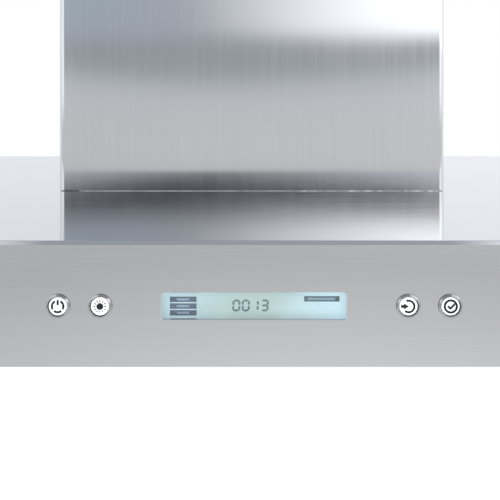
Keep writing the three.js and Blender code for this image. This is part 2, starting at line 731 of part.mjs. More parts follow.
// Moves a counter-clockwise outline inwards by a distance, with mitred corners.
function insetOutline(points, distance) {
  return points.map((point, i) => {
    const before = points[(i + points.length - 1) % points.length];
    const after = points[(i + 1) % points.length];
    const into = new THREE.Vector2().subVectors(point, before).normalize();
    const out = new THREE.Vector2().subVectors(after, point).normalize();
    const normalIn = new THREE.Vector2(-into.y, into.x);
    const normalOut = new THREE.Vector2(-out.y, out.x);
    const reach = distance / (1 + normalIn.dot(normalOut));
    return point.clone().addScaledVector(normalIn.add(normalOut), reach);
  });
}

// A plate of the scroll's outline; its two throat corners can be raised to open the throat.
function scrollPlate(inset, thick, raise = 0) {
  const outline = insetOutline(scrollOutline(), inset);
  outline.slice(-2).forEach((corner) => {
    corner.y += raise;
  });
  const shape = new THREE.Shape(outline);
  const geometry = new THREE.ExtrudeGeometry(shape, { depth: thick, bevelEnabled: false });
  geometry.rotateX(Math.PI / 2);
  geometry.rotateZ(Math.PI / 2);
  return solidFrom(geometry);
}

function scrollWrapSolid() {
  const half = blowerHalfWidth - blower.sheet - touchGap;
  const outer = scrollPlate(0, 2 * half).translate([-half, 0, 0]);
  const inner = scrollPlate(blower.sheet, 2 * (half + past), 2 * blower.sheet)
    .translate([-half - past, 0, 0]);
  return outer.subtract(inner);
}

function blowerSideSolid() {
  const plate = scrollPlate(0, blower.sheet);
  return plate.subtract(alongX(disc(blower.inletRadius, -past, blower.sheet + past, sides.large)));
}

// Two rows of forward-curved blades on one backplate, with the hub and the motor shaft.
function wheelSolid() {
  const half = blowerHalfWidth - blower.sheet - blower.wheelEndGap;
  const inner = blower.wheelRadius - blower.wheelDepth;
  const middle = blower.wheelRadius - blower.wheelDepth / 2;
  const shaftEnd = blowerHalfWidth + motor.standOff + motor.shaftDepth;
  const bladeRoot = half - blower.endRing / 2;
  const pieces = [
    disc(middle, -blower.backplate / 2, blower.backplate / 2, sides.large),
    ring(blower.wheelRadius, inner, half - blower.endRing, half, sides.large),
    ring(blower.wheelRadius, inner, -half, -half + blower.endRing, sides.large),
    disc(blower.hubRadius, -blower.hubRadius, blower.hubRadius, sides.small),
    disc(motor.shaftRadius, -shaftEnd, blower.hubRadius + motor.shaftRadius, sides.small),
  ];
  const blade = slab(blower.bladeWidth / 2, blower.bladeThick / 2, -bladeRoot, bladeRoot)
    .rotate([0, 0, blower.bladePitchDegrees])
    .translate([middle, 0, 0]);
  for (let i = 0; i < blower.bladeCount; i += 1) {
    pieces.push(blade.rotate([0, 0, (360 * i) / blower.bladeCount]));
  }
  return alongX(unite(pieces));
}

// A can with a bored front end, and three arms that bridge the inlet to the side plate.
function motorSolid() {
  const face = -(blowerHalfWidth + motor.standOff);
  const armFace = -(blowerHalfWidth + touchGap);
  const bore = motor.shaftRadius + motor.shaftGap;
  const boreDepth = motor.shaftDepth + motor.shaftEndGap;
  const halfArm = motor.armWidth / 2;
  const { radius, length, edge, armInner } = motor;
  const pieces = [turned([
    [bore, 0], [radius - edge, 0], [radius, -edge], [radius, -length + edge], [radius - edge, -length],
    [0, -length], [0, -boreDepth], [bore, -boreDepth], [bore, 0],
  ], sides.medium).translate([0, 0, face])];
  const foot = block(armInner, motor.armReach, -halfArm, halfArm, armFace - motor.armThick, armFace);
  const web = block(armInner, armInner + motor.armThick, -halfArm, halfArm, face - past, armFace);
  for (let i = 0; i < motor.armCount; i += 1) {
    pieces.push(foot.add(web).rotate([0, 0, 180 + (360 * i) / motor.armCount]));
  }
  return alongX(unite(pieces));
}

// Two rails across the opening and two cheeks that hold the side plates.
function standSolid() {
  const bottom = canopyTop + touchGap;
  const railTop = bottom + stand.railThick;
  const reach = bay.halfWidth - stand.railEndGap;
  const cheekInner = blowerHalfWidth + touchGap;
  const cheekOuter = cheekInner + stand.cheekThick;
  const cheekTop = wheelZ - scrollEnd + stand.cheekLap;
  const halfCheek = stand.cheekHalfWidth;
  const rail = slab(reach, stand.railWidth / 2, bottom, railTop);
  const pieces = [];
  for (const side of [-1, 1]) {
    const inner = side * cheekInner;
    pieces.push(rail.translate([0, side * stand.railOffset, 0]));
    pieces.push(block(inner, side * cheekOuter, -halfCheek, halfCheek, railTop - past, cheekTop));
  }
  return unite(pieces);
}

// A flange over the throat, a round neck with a stop ring in it, and cross holes for the damper's pin.
function outletCollarSolid() {
  const baseTop = collarBase + duct.baseThick;
  const neckTop = baseTop + duct.neckHeight;
  const inner = duct.neckRadius - duct.neckWall;
  const stopBottom = baseTop + duct.stopRise;
  const stopTop = stopBottom + duct.stopThick;
  const baseHalfWidth = Math.max(blowerHalfWidth, duct.neckRadius + duct.baseLap);
  const base = slab(baseHalfWidth, throatHalfDepth, collarBase, baseTop);
  const neck = disc(duct.neckRadius, collarBase, neckTop, sides.large);
  const neckBore = disc(inner, collarBase - past, neckTop + past, sides.large);
  const midWall = duct.neckRadius - 0.5 * duct.neckWall;
  const stop = ring(midWall, inner - duct.stopWidth, stopBottom, stopTop, sides.large);
  const pinHole = barX(flap.pinRadius + touchGap, duct.neckRadius + past).translate([0, 0, flapAxisZ]);
  const knuckleNotch = slab(inner * Math.cos(Math.PI / sides.large) - past, flap.knuckleRadius + past,
    stopBottom - past, stopTop + past);
  return base.add(neck).subtract(neckBore).add(stop).subtract(pinHole).subtract(knuckleNotch);
}

function damperPinSolid() {
  return barX(flap.pinRadius, duct.neckRadius).translate([0, 0, flapAxisZ]);
}

// A half disc on knuckles that are staggered with the other flap's. Side 1 is the rear flap, -1 the front.
function damperFlapSolid(side) {
  const radius = duct.neckRadius - duct.neckWall - flap.clearance;
  const reach = radius + past;
  const otherHalf = block(-reach, reach, -side * reach, side * flap.edge, -flap.thick, flap.thick);
  const pieces = [disc(radius, -flap.thick / 2, flap.thick / 2, sides.large).subtract(otherHalf)];
  const pitch = 2 * (flap.knuckleLength + flap.knuckleGap);
  const span = 2 * (radius - flap.knuckleLength);
  const count = Math.floor(span / pitch);
  const stagger = side > 0 ? 0 : flap.knuckleLength + flap.knuckleGap;
  const webRoot = side * (flap.pinRadius + flap.pinGap + flap.thick / 2);
  for (let i = 0; i < count; i += 1) {
    const start = -span / 2 + i * pitch + stagger;
    const end = start + flap.knuckleLength;
    const web = block(start, end, webRoot, side * (flap.edge + past), -flap.thick / 2, flap.thick / 2);
    pieces.push(alongX(disc(flap.knuckleRadius, start, end, sides.small)).add(web));
  }
  const pinBore = barX(flap.pinRadius + flap.pinGap, reach);
  return unite(pieces).subtract(pinBore).translate([0, 0, flapAxisZ]);
}

const powerBoxFront = throatHalfDepth + powerBox.ductGap;
const powerBoxBack = bay.halfDepth - powerBox.wallGap;
const powerBoxBottom = canopyTop + touchGap;
const powerBoxTop = powerBoxBottom + powerBox.height;
const glandPlace = [gland.offset, (powerBoxFront + powerBoxBack) / 2, 0];

// A cover that opens down onto the canopy top.
function powerBoxSolid() {
  const half = powerBox.halfWidth;
  const wall = powerBox.wall;
  const glandHole = disc(gland.boreRadius + past, powerBoxTop - 2 * wall, powerBoxTop + past, sides.small);
  return block(-half, half, powerBoxFront, powerBoxBack, powerBoxBottom, powerBoxTop)
    .subtract(block(-half + wall, half - wall, powerBoxFront + wall, powerBoxBack - wall,
      powerBoxBottom - past, powerBoxTop - wall))
    .subtract(glandHole.translate(glandPlace));
}

function glandSolid() {
  const foot = powerBoxTop + touchGap;
  const shoulder = foot + gland.baseHeight;
  const top = shoulder + gland.nutHeight;
  const bore = gland.boreRadius;
  const taper = (gland.nutRadius - bore) / 2;
  return turned([
    [bore, foot], [gland.baseRadius, foot], [gland.baseRadius, shoulder], [gland.nutRadius, shoulder],
    [gland.nutRadius, top - taper], [gland.nutRadius - taper, top], [bore, top], [bore, foot],
  ], sides.small);
}

function buildBlower() {
  const axle = [0, wheelY, wheelZ];
  place('blower_scroll', scrollWrapSolid(), galvanised, axle);
  place('blower_side_left', blowerSideSolid(), galvanised, [-blowerHalfWidth, wheelY, wheelZ]);
  place('blower_side_right', blowerSideSolid(), galvanised,
    [blowerHalfWidth - blower.sheet, wheelY, wheelZ]);
  place('blower_wheel', wheelSolid(), blackPlastic, axle);
  place('blower_motor', motorSolid(), castAlloy, axle);
  place('blower_stand', standSolid(), galvanised);
  place('outlet_collar', outletCollarSolid(), galvanised);
  place('damper_pin', damperPinSolid(), darkChrome);
  place('damper_flap_rear', damperFlapSolid(1), blackPlastic);
  place('damper_flap_front', damperFlapSolid(-1), blackPlastic);
  place('power_box', powerBoxSolid(), galvanised);
  place('cable_gland', glandSolid(), blackPlastic, glandPlace);
}

buildCeilingSide();
buildCanopy();
buildFilters();
buildLamps();
buildControls();
buildBlower();

export default hood;
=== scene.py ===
import bpy
import bmesh
import json
import math
import random
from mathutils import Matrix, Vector


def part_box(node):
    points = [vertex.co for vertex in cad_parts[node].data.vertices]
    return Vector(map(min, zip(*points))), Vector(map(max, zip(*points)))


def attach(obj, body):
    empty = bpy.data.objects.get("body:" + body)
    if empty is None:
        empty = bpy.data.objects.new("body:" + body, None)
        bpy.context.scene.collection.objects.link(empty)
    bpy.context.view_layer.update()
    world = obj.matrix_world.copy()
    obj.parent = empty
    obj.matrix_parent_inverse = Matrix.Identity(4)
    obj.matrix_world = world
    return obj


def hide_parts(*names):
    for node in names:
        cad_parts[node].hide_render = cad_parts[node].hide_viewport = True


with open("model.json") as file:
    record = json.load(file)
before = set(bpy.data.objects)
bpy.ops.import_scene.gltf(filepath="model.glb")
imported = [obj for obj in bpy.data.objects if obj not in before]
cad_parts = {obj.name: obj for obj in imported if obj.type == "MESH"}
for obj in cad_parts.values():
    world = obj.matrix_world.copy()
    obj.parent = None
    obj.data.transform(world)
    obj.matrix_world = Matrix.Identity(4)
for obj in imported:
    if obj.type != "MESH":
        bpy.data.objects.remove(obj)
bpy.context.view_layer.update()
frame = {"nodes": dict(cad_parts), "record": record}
cadNodes = frame["nodes"]
mm = 0.001

fasciaMiddle = -0.8318      # height of the controls' centre line
canopyLow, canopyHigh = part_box("canopy_shell")
sceneCollection = bpy.context.scene.collection
print("frame loaded,", len(cadNodes), "nodes")


def startMaterial(name, baseColor, roughness, metallic):
    material = bpy.data.materials.new(name)
    material.use_nodes = True
    tree = material.node_tree
    shader = tree.nodes["Principled BSDF"]
    shader.inputs["Base Color"].default_value = (*baseColor, 1)
    shader.inputs["Roughness"].default_value = roughness
    shader.inputs["Metallic"].default_value = metallic
    return material, tree, shader


def addNode(tree, kind, inputs=None, **settings):
    node = tree.nodes.new(kind)
    for key, value in settings.items():
        setattr(node, key, value)
    for key, value in (inputs or {}).items():
        setInput(tree, node.inputs[key], value)
    return node


def setInput(tree, socket, value):
    if isinstance(value, bpy.types.NodeSocket):
        tree.links.new(value, socket)
    else:
        socket.default_value = value


def mathOf(tree, operation, first, second=0.0, third=0.0):
    node = addNode(tree, "ShaderNodeMath", operation=operation)
    setInput(tree, node.inputs[0], first)
    setInput(tree, node.inputs[1], second)
    setInput(tree, node.inputs[2], third)
    return node.outputs[0]


def objectPlace(tree):
    return addNode(tree, "ShaderNodeTexCoord").outputs["Object"]


def noiseAt(tree, stretch, detail=3.0, distortion=0.0):
    # stretch is how many features a metre holds along X, Y and Z
    mapping = addNode(tree, "ShaderNodeMapping", {"Vector": objectPlace(tree), "Scale": stretch})
    noise = addNode(tree, "ShaderNodeTexNoise", {
        "Vector": mapping.outputs[0], "Scale": 1.0, "Detail": detail, "Distortion": distortion})
    return noise.outputs["Fac"]


def remap(tree, value, fromLow, fromHigh, toLow, toHigh):
    node = addNode(tree, "ShaderNodeMapRange", {
        "Value": value, "From Min": fromLow, "From Max": fromHigh, "To Min": toLow, "To Max": toHigh})
    return node.outputs[0]


def mixColors(tree, factor, first, second, blend="MIX"):
    node = addNode(tree, "ShaderNodeMix", data_type="RGBA", blend_type=blend)
    setInput(tree, node.inputs[0], factor)
    setInput(tree, node.inputs[6], first if isinstance(first, bpy.types.NodeSocket) else (*first, 1))
    setInput(tree, node.inputs[7], second if isinstance(second, bpy.types.NodeSocket) else (*second, 1))
    return node.outputs[2]


def edgeMask(tree, radius):
    # 1 on edges, 0 on flats: how far the rounded normal leans away from the real one
    rounded = addNode(tree, "ShaderNodeBevel", {"Radius": radius}, samples=4)
    straight = addNode(tree, "ShaderNodeNewGeometry").outputs["Normal"]
    dot = addNode(tree, "ShaderNodeVectorMath", operation="DOT_PRODUCT")
    tree.links.new(rounded.outputs[0], dot.inputs[0])
    tree.links.new(straight, dot.inputs[1])
    return remap(tree, dot.outputs["Value"], 0.985, 0.8, 0.0, 1.0)


def bumpFrom(tree, height, strength, distance):
    node = addNode(tree, "ShaderNodeBump", {
        "Height": height, "Strength": strength, "Distance": distance})
    return node.outputs[0]


brushed = {
    "color": (0.76, 0.76, 0.765), "worn": (0.84, 0.84, 0.85), "roughness": 0.085, "anisotropy": 0.7,
    "fine": 1500, "coarse": 260, "along": 5, "roughVary": 0.025, "colorVary": 0.025, "bump": 0.012,
    "roughPatch": 0.015,
}


def grainLines(tree, grain, onSide):
    # brush lines, fine and coarse, drawn out along the grain
    fine, coarse, along = brushed["fine"], brushed["coarse"], brushed["along"]
    if grain == "Z":
        fineLines = noiseAt(tree, (fine, fine, along * 3), 2.0)
        coarseLines = noiseAt(tree, (coarse, coarse, along), 3.0)
    else:
        fineLines = blendValues(tree, onSide, noiseAt(tree, (along * 3, fine, fine), 2.0),
                                noiseAt(tree, (fine, along * 3, fine), 2.0))
        coarseLines = blendValues(tree, onSide, noiseAt(tree, (along, coarse, coarse), 3.0),
                                  noiseAt(tree, (coarse, along, coarse), 3.0))
    return mathOf(tree, "MULTIPLY_ADD", fineLines, 0.6, mathOf(tree, "MULTIPLY", coarseLines, 0.4))


def grainTangent(tree, grain, onSide, normal):
    # highlights are drawn out across the brush lines
    direction = {"X": 0.0, "Y": 0.0, "Z": 1.0}
    if grain == "X":
        direction = {"X": mathOf(tree, "SUBTRACT", 1.0, onSide), "Y": onSide, "Z": 0.0}
    across = addNode(tree, "ShaderNodeVectorMath", operation="CROSS_PRODUCT")
    tree.links.new(normal, across.inputs[0])
    tree.links.new(addNode(tree, "ShaderNodeCombineXYZ", direction).outputs[0], across.inputs[1])
    turned = addNode(tree, "ShaderNodeVectorTransform", {"Vector": across.outputs[0]},
                     vector_type="VECTOR", convert_from="OBJECT", convert_to="WORLD")
    return turned.outputs[0]


def brushedSteel(name, grain, roughness=brushed["roughness"], color=brushed["color"]):
    # grain is the axis the brush lines run along, X or Z; side faces take Y instead of X
    material, tree, shader = startMaterial(name, color, roughness, 1.0)
    normal = addNode(tree, "ShaderNodeTexCoord").outputs["Normal"]
    split = addNode(tree, "ShaderNodeSeparateXYZ", {"Vector": normal})
    onSide = mathOf(tree, "GREATER_THAN", mathOf(tree, "ABSOLUTE", split.outputs["X"]), 0.7)
    lines = grainLines(tree, grain, onSide)
    cloud = noiseAt(tree, (6, 6, 6), 2.0)
    vary, patchy = brushed["roughVary"], brushed["roughPatch"]
    rough = remap(tree, lines, 0.3, 0.7, roughness - vary, roughness + vary)
    rough = mathOf(tree, "ADD", rough, remap(tree, cloud, 0.3, 0.7, -patchy, patchy))
    tree.links.new(rough, shader.inputs["Roughness"])
    tint = brushed["colorVary"]
    darker = tuple(c * (1 - tint) for c in color)
    lighter = tuple(min(1.0, c * (1 + tint)) for c in color)
    streaked = mixColors(tree, remap(tree, lines, 0.3, 0.7, 0.0, 1.0), darker, lighter)
    onEdge = mathOf(tree, "MULTIPLY", edgeMask(tree, 0.6 * mm), 0.5)
    tree.links.new(mixColors(tree, onEdge, streaked, brushed["worn"]), shader.inputs["Base Color"])
    tree.links.new(grainTangent(tree, grain, onSide, normal), shader.inputs["Tangent"])
    shader.inputs["Anisotropic"].default_value = brushed["anisotropy"]
    tree.links.new(bumpFrom(tree, lines, brushed["bump"], 0.02 * mm), shader.inputs["Normal"])
    return material


def blendValues(tree, factor, first, second):
    node = addNode(tree, "ShaderNodeMix", data_type="FLOAT")
    setInput(tree, node.inputs[0], factor)
    setInput(tree, node.inputs[2], first)
    setInput(tree, node.inputs[3], second)
    return node.outputs[0]


galvanised = {
    "dull": (0.46, 0.48, 0.50), "bright": (0.66, 0.68, 0.70), "flakes": 110, "roughLow": 0.32,
    "roughHigh": 0.52, "bump": 0.12, "worn": (0.78, 0.79, 0.8),
}


def galvanisedSheet():
    # zinc spangle: angular crystals of slightly different brightness
    material, tree, shader = startMaterial("galvanisedSheet", galvanised["dull"], 0.4, 0.9)
    flakes = addNode(tree, "ShaderNodeTexVoronoi", {
        "Vector": objectPlace(tree), "Scale": galvanised["flakes"], "Randomness": 0.9})
    crystal = addNode(tree, "ShaderNodeSeparateColor", {"Color": flakes.outputs["Color"]}).outputs[0]
    dust = noiseAt(tree, (30, 30, 30), 5.0)
    blend = mathOf(tree, "MULTIPLY_ADD", dust, 0.5, mathOf(tree, "MULTIPLY", crystal, 0.5))
    color = mixColors(tree, blend, galvanised["dull"], galvanised["bright"])
    worn = mixColors(tree, mathOf(tree, "MULTIPLY", edgeMask(tree, 0.7 * mm), 0.6), color,
                     galvanised["worn"])
    tree.links.new(worn, shader.inputs["Base Color"])
    rough = remap(tree, crystal, 0.0, 1.0, galvanised["roughLow"], galvanised["roughHigh"])
    tree.links.new(rough, shader.inputs["Roughness"])
    tree.links.new(bumpFrom(tree, blend, galvanised["bump"], 0.1 * mm), shader.inputs["Normal"])
    return material


def paintedPiece(name, color, roughness, metallic=0.0, grain=900, vary=0.12, bump=0.15, worn=None,
                 specular=0.5):
    # moulded, cast or plated surface: fine grain, patchy gloss, lighter edges
    material, tree, shader = startMaterial(name, color, roughness, metallic)
    shader.inputs["Specular IOR Level"].default_value = specular
    fine = noiseAt(tree, (grain, grain, grain), 3.0)
    patch = noiseAt(tree, (25, 25, 25), 4.0)
    darker = tuple(c * (1 - vary) for c in color)
    lighter = tuple(min(1.0, c * (1 + vary)) for c in color)
    tone = mixColors(tree, remap(tree, patch, 0.3, 0.7, 0.0, 1.0), darker, lighter)
    if worn is not None:
        tone = mixColors(tree, mathOf(tree, "MULTIPLY", edgeMask(tree, 0.4 * mm), 0.7), tone, worn)
    tree.links.new(tone, shader.inputs["Base Color"])
    rough = mathOf(tree, "ADD", remap(tree, patch, 0.3, 0.7, roughness * 0.85, roughness * 1.15),
                   remap(tree, fine, 0.3, 0.7, -0.03, 0.03))
    tree.links.new(rough, shader.inputs["Roughness"])
    tree.links.new(bumpFrom(tree, fine, bump, 0.02 * mm), shader.inputs["Normal"])
    return material


lampFrost = {
    "color": (0.93, 0.92, 0.87), "dark": (0.86, 0.85, 0.8), "light": (0.97, 0.96, 0.92),
    "roughLow": 0.28, "roughHigh": 0.45, "soft": 0.25, "softReach": 0.004,
}


def frostedLampGlass():
    material, tree, shader = startMaterial("frostedLampGlass", lampFrost["color"], 0.35, 0.0)
    frost = noiseAt(tree, (700, 700, 700), 4.0)
    tone = mixColors(tree, remap(tree, noiseAt(tree, (60, 60, 60), 2.0), 0.3, 0.7, 0.0, 1.0),
                     lampFrost["dark"], lampFrost["light"])
    tree.links.new(tone, shader.inputs["Base Color"])
    rough = remap(tree, frost, 0.3, 0.7, lampFrost["roughLow"], lampFrost["roughHigh"])
    tree.links.new(rough, shader.inputs["Roughness"])
    shader.inputs["Subsurface Weight"].default_value = lampFrost["soft"]
    shader.inputs["Subsurface Radius"].default_value = (lampFrost["softReach"],) * 3
    tree.links.new(bumpFrom(tree, frost, 0.2, 0.05 * mm), shader.inputs["Normal"])
    return material


pane = {
    "color": (0.85, 0.95, 0.97), "through": (0.93, 0.985, 0.99, 1), "rough": (0.05, 0.14),
    "shine": (0.03, 0.06),
}


def windowGlass():
    # thin clear pane: mostly seen through, with a faint blue green tint and a weak reflection
    material, tree, shader = startMaterial("windowGlass", pane["color"], 0.08, 0.0)
    smear = noiseAt(tree, (90, 20, 140), 4.0)
    tree.links.new(remap(tree, smear, 0.3, 0.7, *pane["rough"]), shader.inputs["Roughness"])
    clear = addNode(tree, "ShaderNodeBsdfTransparent", {"Color": pane["through"]})
    mix = addNode(tree, "ShaderNodeMixShader", {"Fac": remap(tree, smear, 0.3, 0.7, *pane["shine"])})
    tree.links.new(clear.outputs[0], mix.inputs[1])
    tree.links.new(shader.outputs[0], mix.inputs[2])
    output = next(n for n in tree.nodes if n.type == "OUTPUT_MATERIAL")
    tree.links.new(mix.outputs[0], output.inputs["Surface"])
    return material


lcd = {
    "left": (0.335, 0.40, 0.43), "middle": (0.30, 0.345, 0.325), "right": (0.41, 0.49, 0.54),
    "body": 0.3, "glow": 1.16,
    "barLeft": (0.022, 0.032, 0.078), "barRight": (0.018, 0.045, 0.055), "digit": (0.05, 0.09, 0.095),
    "label": (0.26, 0.31, 0.40), "leftSpan": (-36 * mm, -8 * mm), "rightSpan": (8 * mm, 36 * mm),
    "wander": 5 * mm, "cells": 900, "cellLine": 0.02,
}


def lcdFace():
    # back-lit panel: uneven from left to right, with the fine cross lines of its cells
    material, tree, shader = startMaterial("lcdFace", lcd["middle"], 0.45, 0.0)
    place = addNode(tree, "ShaderNodeSeparateXYZ", {"Vector": objectPlace(tree)})
    patch = noiseAt(tree, (70, 70, 160), 2.0)
    wander = remap(tree, patch, 0.3, 0.7, -lcd["wander"], lcd["wander"])
    along = mathOf(tree, "ADD", place.outputs["X"], wander)
    tone = mixColors(tree, remap(tree, along, *lcd["leftSpan"], 0.0, 1.0), lcd["left"], lcd["middle"])
    tone = mixColors(tree, remap(tree, along, *lcd["rightSpan"], 0.0, 1.0), tone, lcd["right"])
    tree.links.new(mixColors(tree, 1.0, tone, (lcd["body"],) * 3, "MULTIPLY"), shader.inputs["Base Color"])
    tree.links.new(tone, shader.inputs["Emission Color"])
    shader.inputs["Emission Strength"].default_value = lcd["glow"]
    cells = addNode(tree, "ShaderNodeTexBrick", {"Scale": 1.0, "Mortar Size": lcd["cellLine"]}, offset=0.0)
    stretched = addNode(tree, "ShaderNodeMapping", {
        "Vector": objectPlace(tree), "Rotation": (math.pi / 2, 0.0, 0.0), "Scale": (lcd["cells"],) * 3})
    tree.links.new(stretched.outputs[0], cells.inputs["Vector"])
    tree.links.new(remap(tree, cells.outputs["Fac"], 0.0, 1.0, 0.4, 0.55), shader.inputs["Roughness"])
    tree.links.new(bumpFrom(tree, patch, 0.05, 0.02 * mm), shader.inputs["Normal"])
    return material


seamEdge = {
    "dark": (0.40, 0.405, 0.42), "bright": (0.90, 0.90, 0.92), "specks": 260,
    "raggedSpan": (20 * mm, 60 * mm), "leftShare": 0.30,
}


def seamEdgeMetal():
    # the ragged edge of the joint at the chimney's foot: even on the left, bright specks on the right
    material, tree, shader = startMaterial("seamEdge", seamEdge["dark"], 0.4, 0.6)
    specks = noiseAt(tree, (seamEdge["specks"],) * 3, 5.0)
    place = addNode(tree, "ShaderNodeSeparateXYZ", {"Vector": objectPlace(tree)})
    ragged = remap(tree, place.outputs["X"], *seamEdge["raggedSpan"], seamEdge["leftShare"], 1.0)
    speck = mathOf(tree, "MULTIPLY", remap(tree, specks, 0.45, 0.62, 0.0, 1.0), ragged)
    tone = mixColors(tree, speck, seamEdge["dark"], seamEdge["bright"])
    tree.links.new(tone, shader.inputs["Base Color"])
    tree.links.new(remap(tree, specks, 0.3, 0.7, 0.25, 0.6), shader.inputs["Roughness"])
    tree.links.new(bumpFrom(tree, specks, 0.8, 0.2 * mm), shader.inputs["Normal"])
    return material


canopySteel = brushedSteel("canopySteel", "X")
chimneySteel = brushedSteel("chimneySteel", "Z", roughness=0.13)
filterSteel = brushedSteel("filterSteel", "X", roughness=0.28, color=(0.70, 0.70, 0.71))
zincSheet = galvanisedSheet()
screwSteel = paintedPiece("screwSteel", (0.62, 0.63, 0.65), 0.28, 1.0, worn=(0.8, 0.8, 0.82))
ringChrome = paintedPiece("ringChrome", (0.50, 0.505, 0.51), 0.16, 1.0, vary=0.05, bump=0.05,
                          worn=(0.56, 0.56, 0.57))
capWhite = paintedPiece("capWhite", (0.73, 0.735, 0.735), 0.35, vary=0.025, bump=0.06,
                        worn=(0.78, 0.78, 0.78))
inkBlack = paintedPiece("inkBlack", (0.012, 0.013, 0.015), 0.5, vary=0.3, bump=0.1, specular=0.15)
blackPlastic = paintedPiece("blackPlastic", (0.028, 0.029, 0.032), 0.5, vary=0.2, worn=(0.09, 0.09, 0.1))
boardGreen = paintedPiece("boardGreen", (0.02, 0.15, 0.075), 0.38, grain=1400, vary=0.15,
                          worn=(0.35, 0.33, 0.2))
motorAlloy = paintedPiece("motorAlloy", (0.42, 0.43, 0.44), 0.5, 0.85, grain=500, worn=(0.66, 0.66, 0.67))
lampTrim = paintedPiece("lampTrim", (0.74, 0.75, 0.76), 0.22, 1.0, vary=0.05, worn=(0.88, 0.88, 0.89))
lampGlass = frostedLampGlass()
clearWindow = windowGlass()
displayLit = lcdFace()
barInkLeft = paintedPiece("barInkLeft", lcd["barLeft"], 0.5, vary=0.15)
barInkRight = paintedPiece("barInkRight", lcd["barRight"], 0.5, vary=0.15)
digitInk = paintedPiece("digitInk", lcd["digit"], 0.5, vary=0.15)
labelInk = paintedPiece("labelInk", lcd["label"], 0.5, vary=0.15)
seamMetal = seamEdgeMetal()
print("materials made:", len(bpy.data.materials))


def finishPiece(name, bm, materials, body, replaced=(), sharpDegrees=32):
    bmesh.ops.remove_doubles(bm, verts=bm.verts, dist=1e-6)
    bmesh.ops.recalc_face_normals(bm, faces=bm.faces)
    mesh = bpy.data.meshes.new(name)
    bm.to_mesh(mesh)
    bm.free()
    for material in materials:
        mesh.materials.append(material)
    mesh.shade_smooth()
    mesh.set_sharp_from_angle(angle=math.radians(sharpDegrees))
    piece = bpy.data.objects.new(name, mesh)
    sceneCollection.objects.link(piece)
    weighted = piece.modifiers.new("flatFacesStayFlat", "WEIGHTED_NORMAL")
    weighted.keep_sharp = True
    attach(piece, body)
    if replaced:
        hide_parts(*replaced)
    return piece


def roundedLoop(halfX, halfY, radius, z, steps):
    # starts at the front right corner's front end and runs counter-clockwise seen from above
    points = []
    for cornerX, cornerY, start in ((1, -1, -90), (1, 1, 0), (-1, 1, 90), (-1, -1, 180)):
        for i in range(steps + 1):
            angle = math.radians(start + 90 * i / steps)
            points.append(Vector((cornerX * (halfX - radius) + radius * math.cos(angle),
                                  cornerY * (halfY - radius) + radius * math.sin(angle), z)))
    return points


def skinLoops(bm, loops, leaveOut=()):
    # joins loops with quads; leaveOut holds (band, side) pairs that stay open
    rings = [[bm.verts.new(p) for p in loop] for loop in loops]
    count = len(rings[0])
    for band, (low, high) in enumerate(zip(rings, rings[1:])):
        for i in range(count):
            if (band, i) not in leaveOut:
                bm.faces.new((low[i], low[(i + 1) % count], high[(i + 1) % count], high[i]))
    return rings


def circlePoints(middleU, middleV, radius, count):
    return [(middleU + radius * math.cos(2 * math.pi * i / count),
             middleV + radius * math.sin(2 * math.pi * i / count)) for i in range(count)]


def roundedHole(middleU, middleV, halfU, halfV, radius, steps=4):
    flat = roundedLoop(halfU, halfV, radius, 0.0, steps)
    return [(middleU + p.x, middleV + p.y) for p in flat]


def flatFill(bm, rings, place):
    # a flat face with holes: the first ring is its outline; place turns (u, v) into a point
    edges, made = [], []
    for ring in rings:
        verts = [bm.verts.new(place(u, v)) for u, v in ring]
        edges += [bm.edges.new((a, b)) for a, b in zip(verts, verts[1:] + verts[:1])]
        made.append(verts)
    bmesh.ops.triangle_fill(bm, edges=edges, use_beauty=True, use_dissolve=False)
    return made


def bridge(bm, near, far):
    for i in range(len(near)):
        j = (i + 1) % len(near)
        bm.faces.new((near[i], near[j], far[j], far[i]))


def punchHoles(bm, outline, innerOutline, holes, place, depth, chamfer):
    # a sheet between two depths with chamfered holes; holes are (ring, widerRing) pairs
    front = flatFill(bm, [outline] + [wide for _, wide in holes], lambda u, v: place(u, v, 0.0))
    back = flatFill(bm, [innerOutline] + [ring for ring, _ in holes], lambda u, v: place(u, v, depth))
    for k, (ring, _) in enumerate(holes):
        lip = [bm.verts.new(place(u, v, chamfer)) for u, v in ring]
        bridge(bm, front[k + 1], lip)
        bridge(bm, lip, back[k + 1])


def revolve(bm, profile, middle, steps=48):
    # profile is (radius, depth) pairs about an axis along Y through middle; closed if its ends meet
    rings = []
    for radius, depth in profile:
        if radius < 1e-7:
            rings.append([bm.verts.new(middle + Vector((0, depth, 0)))])
            continue
        rings.append([bm.verts.new(middle + Vector((radius * math.cos(2 * math.pi * i / steps), depth,
                                                    radius * math.sin(2 * math.pi * i / steps))))
                      for i in range(steps)])
    for near, far in zip(rings, rings[1:]):
        for i in range(steps):
            j = (i + 1) % steps
            if len(near) == 1:
                bm.faces.new((near[0], far[i], far[j]))
            elif len(far) == 1:
                bm.faces.new((near[i], near[j], far[0]))
            else:
                bm.faces.new((near[i], near[j], far[j], far[i]))


def arcEdge(middleA, middleB, radius, startDegrees, endDegrees, steps):
    # points of an arc in a plane of two coordinates
    angles = [math.radians(startDegrees + (endDegrees - startDegrees) * i / steps) for i in range(steps + 1)]
    return [(middleA + radius * math.cos(a), middleB + radius * math.sin(a)) for a in angles]


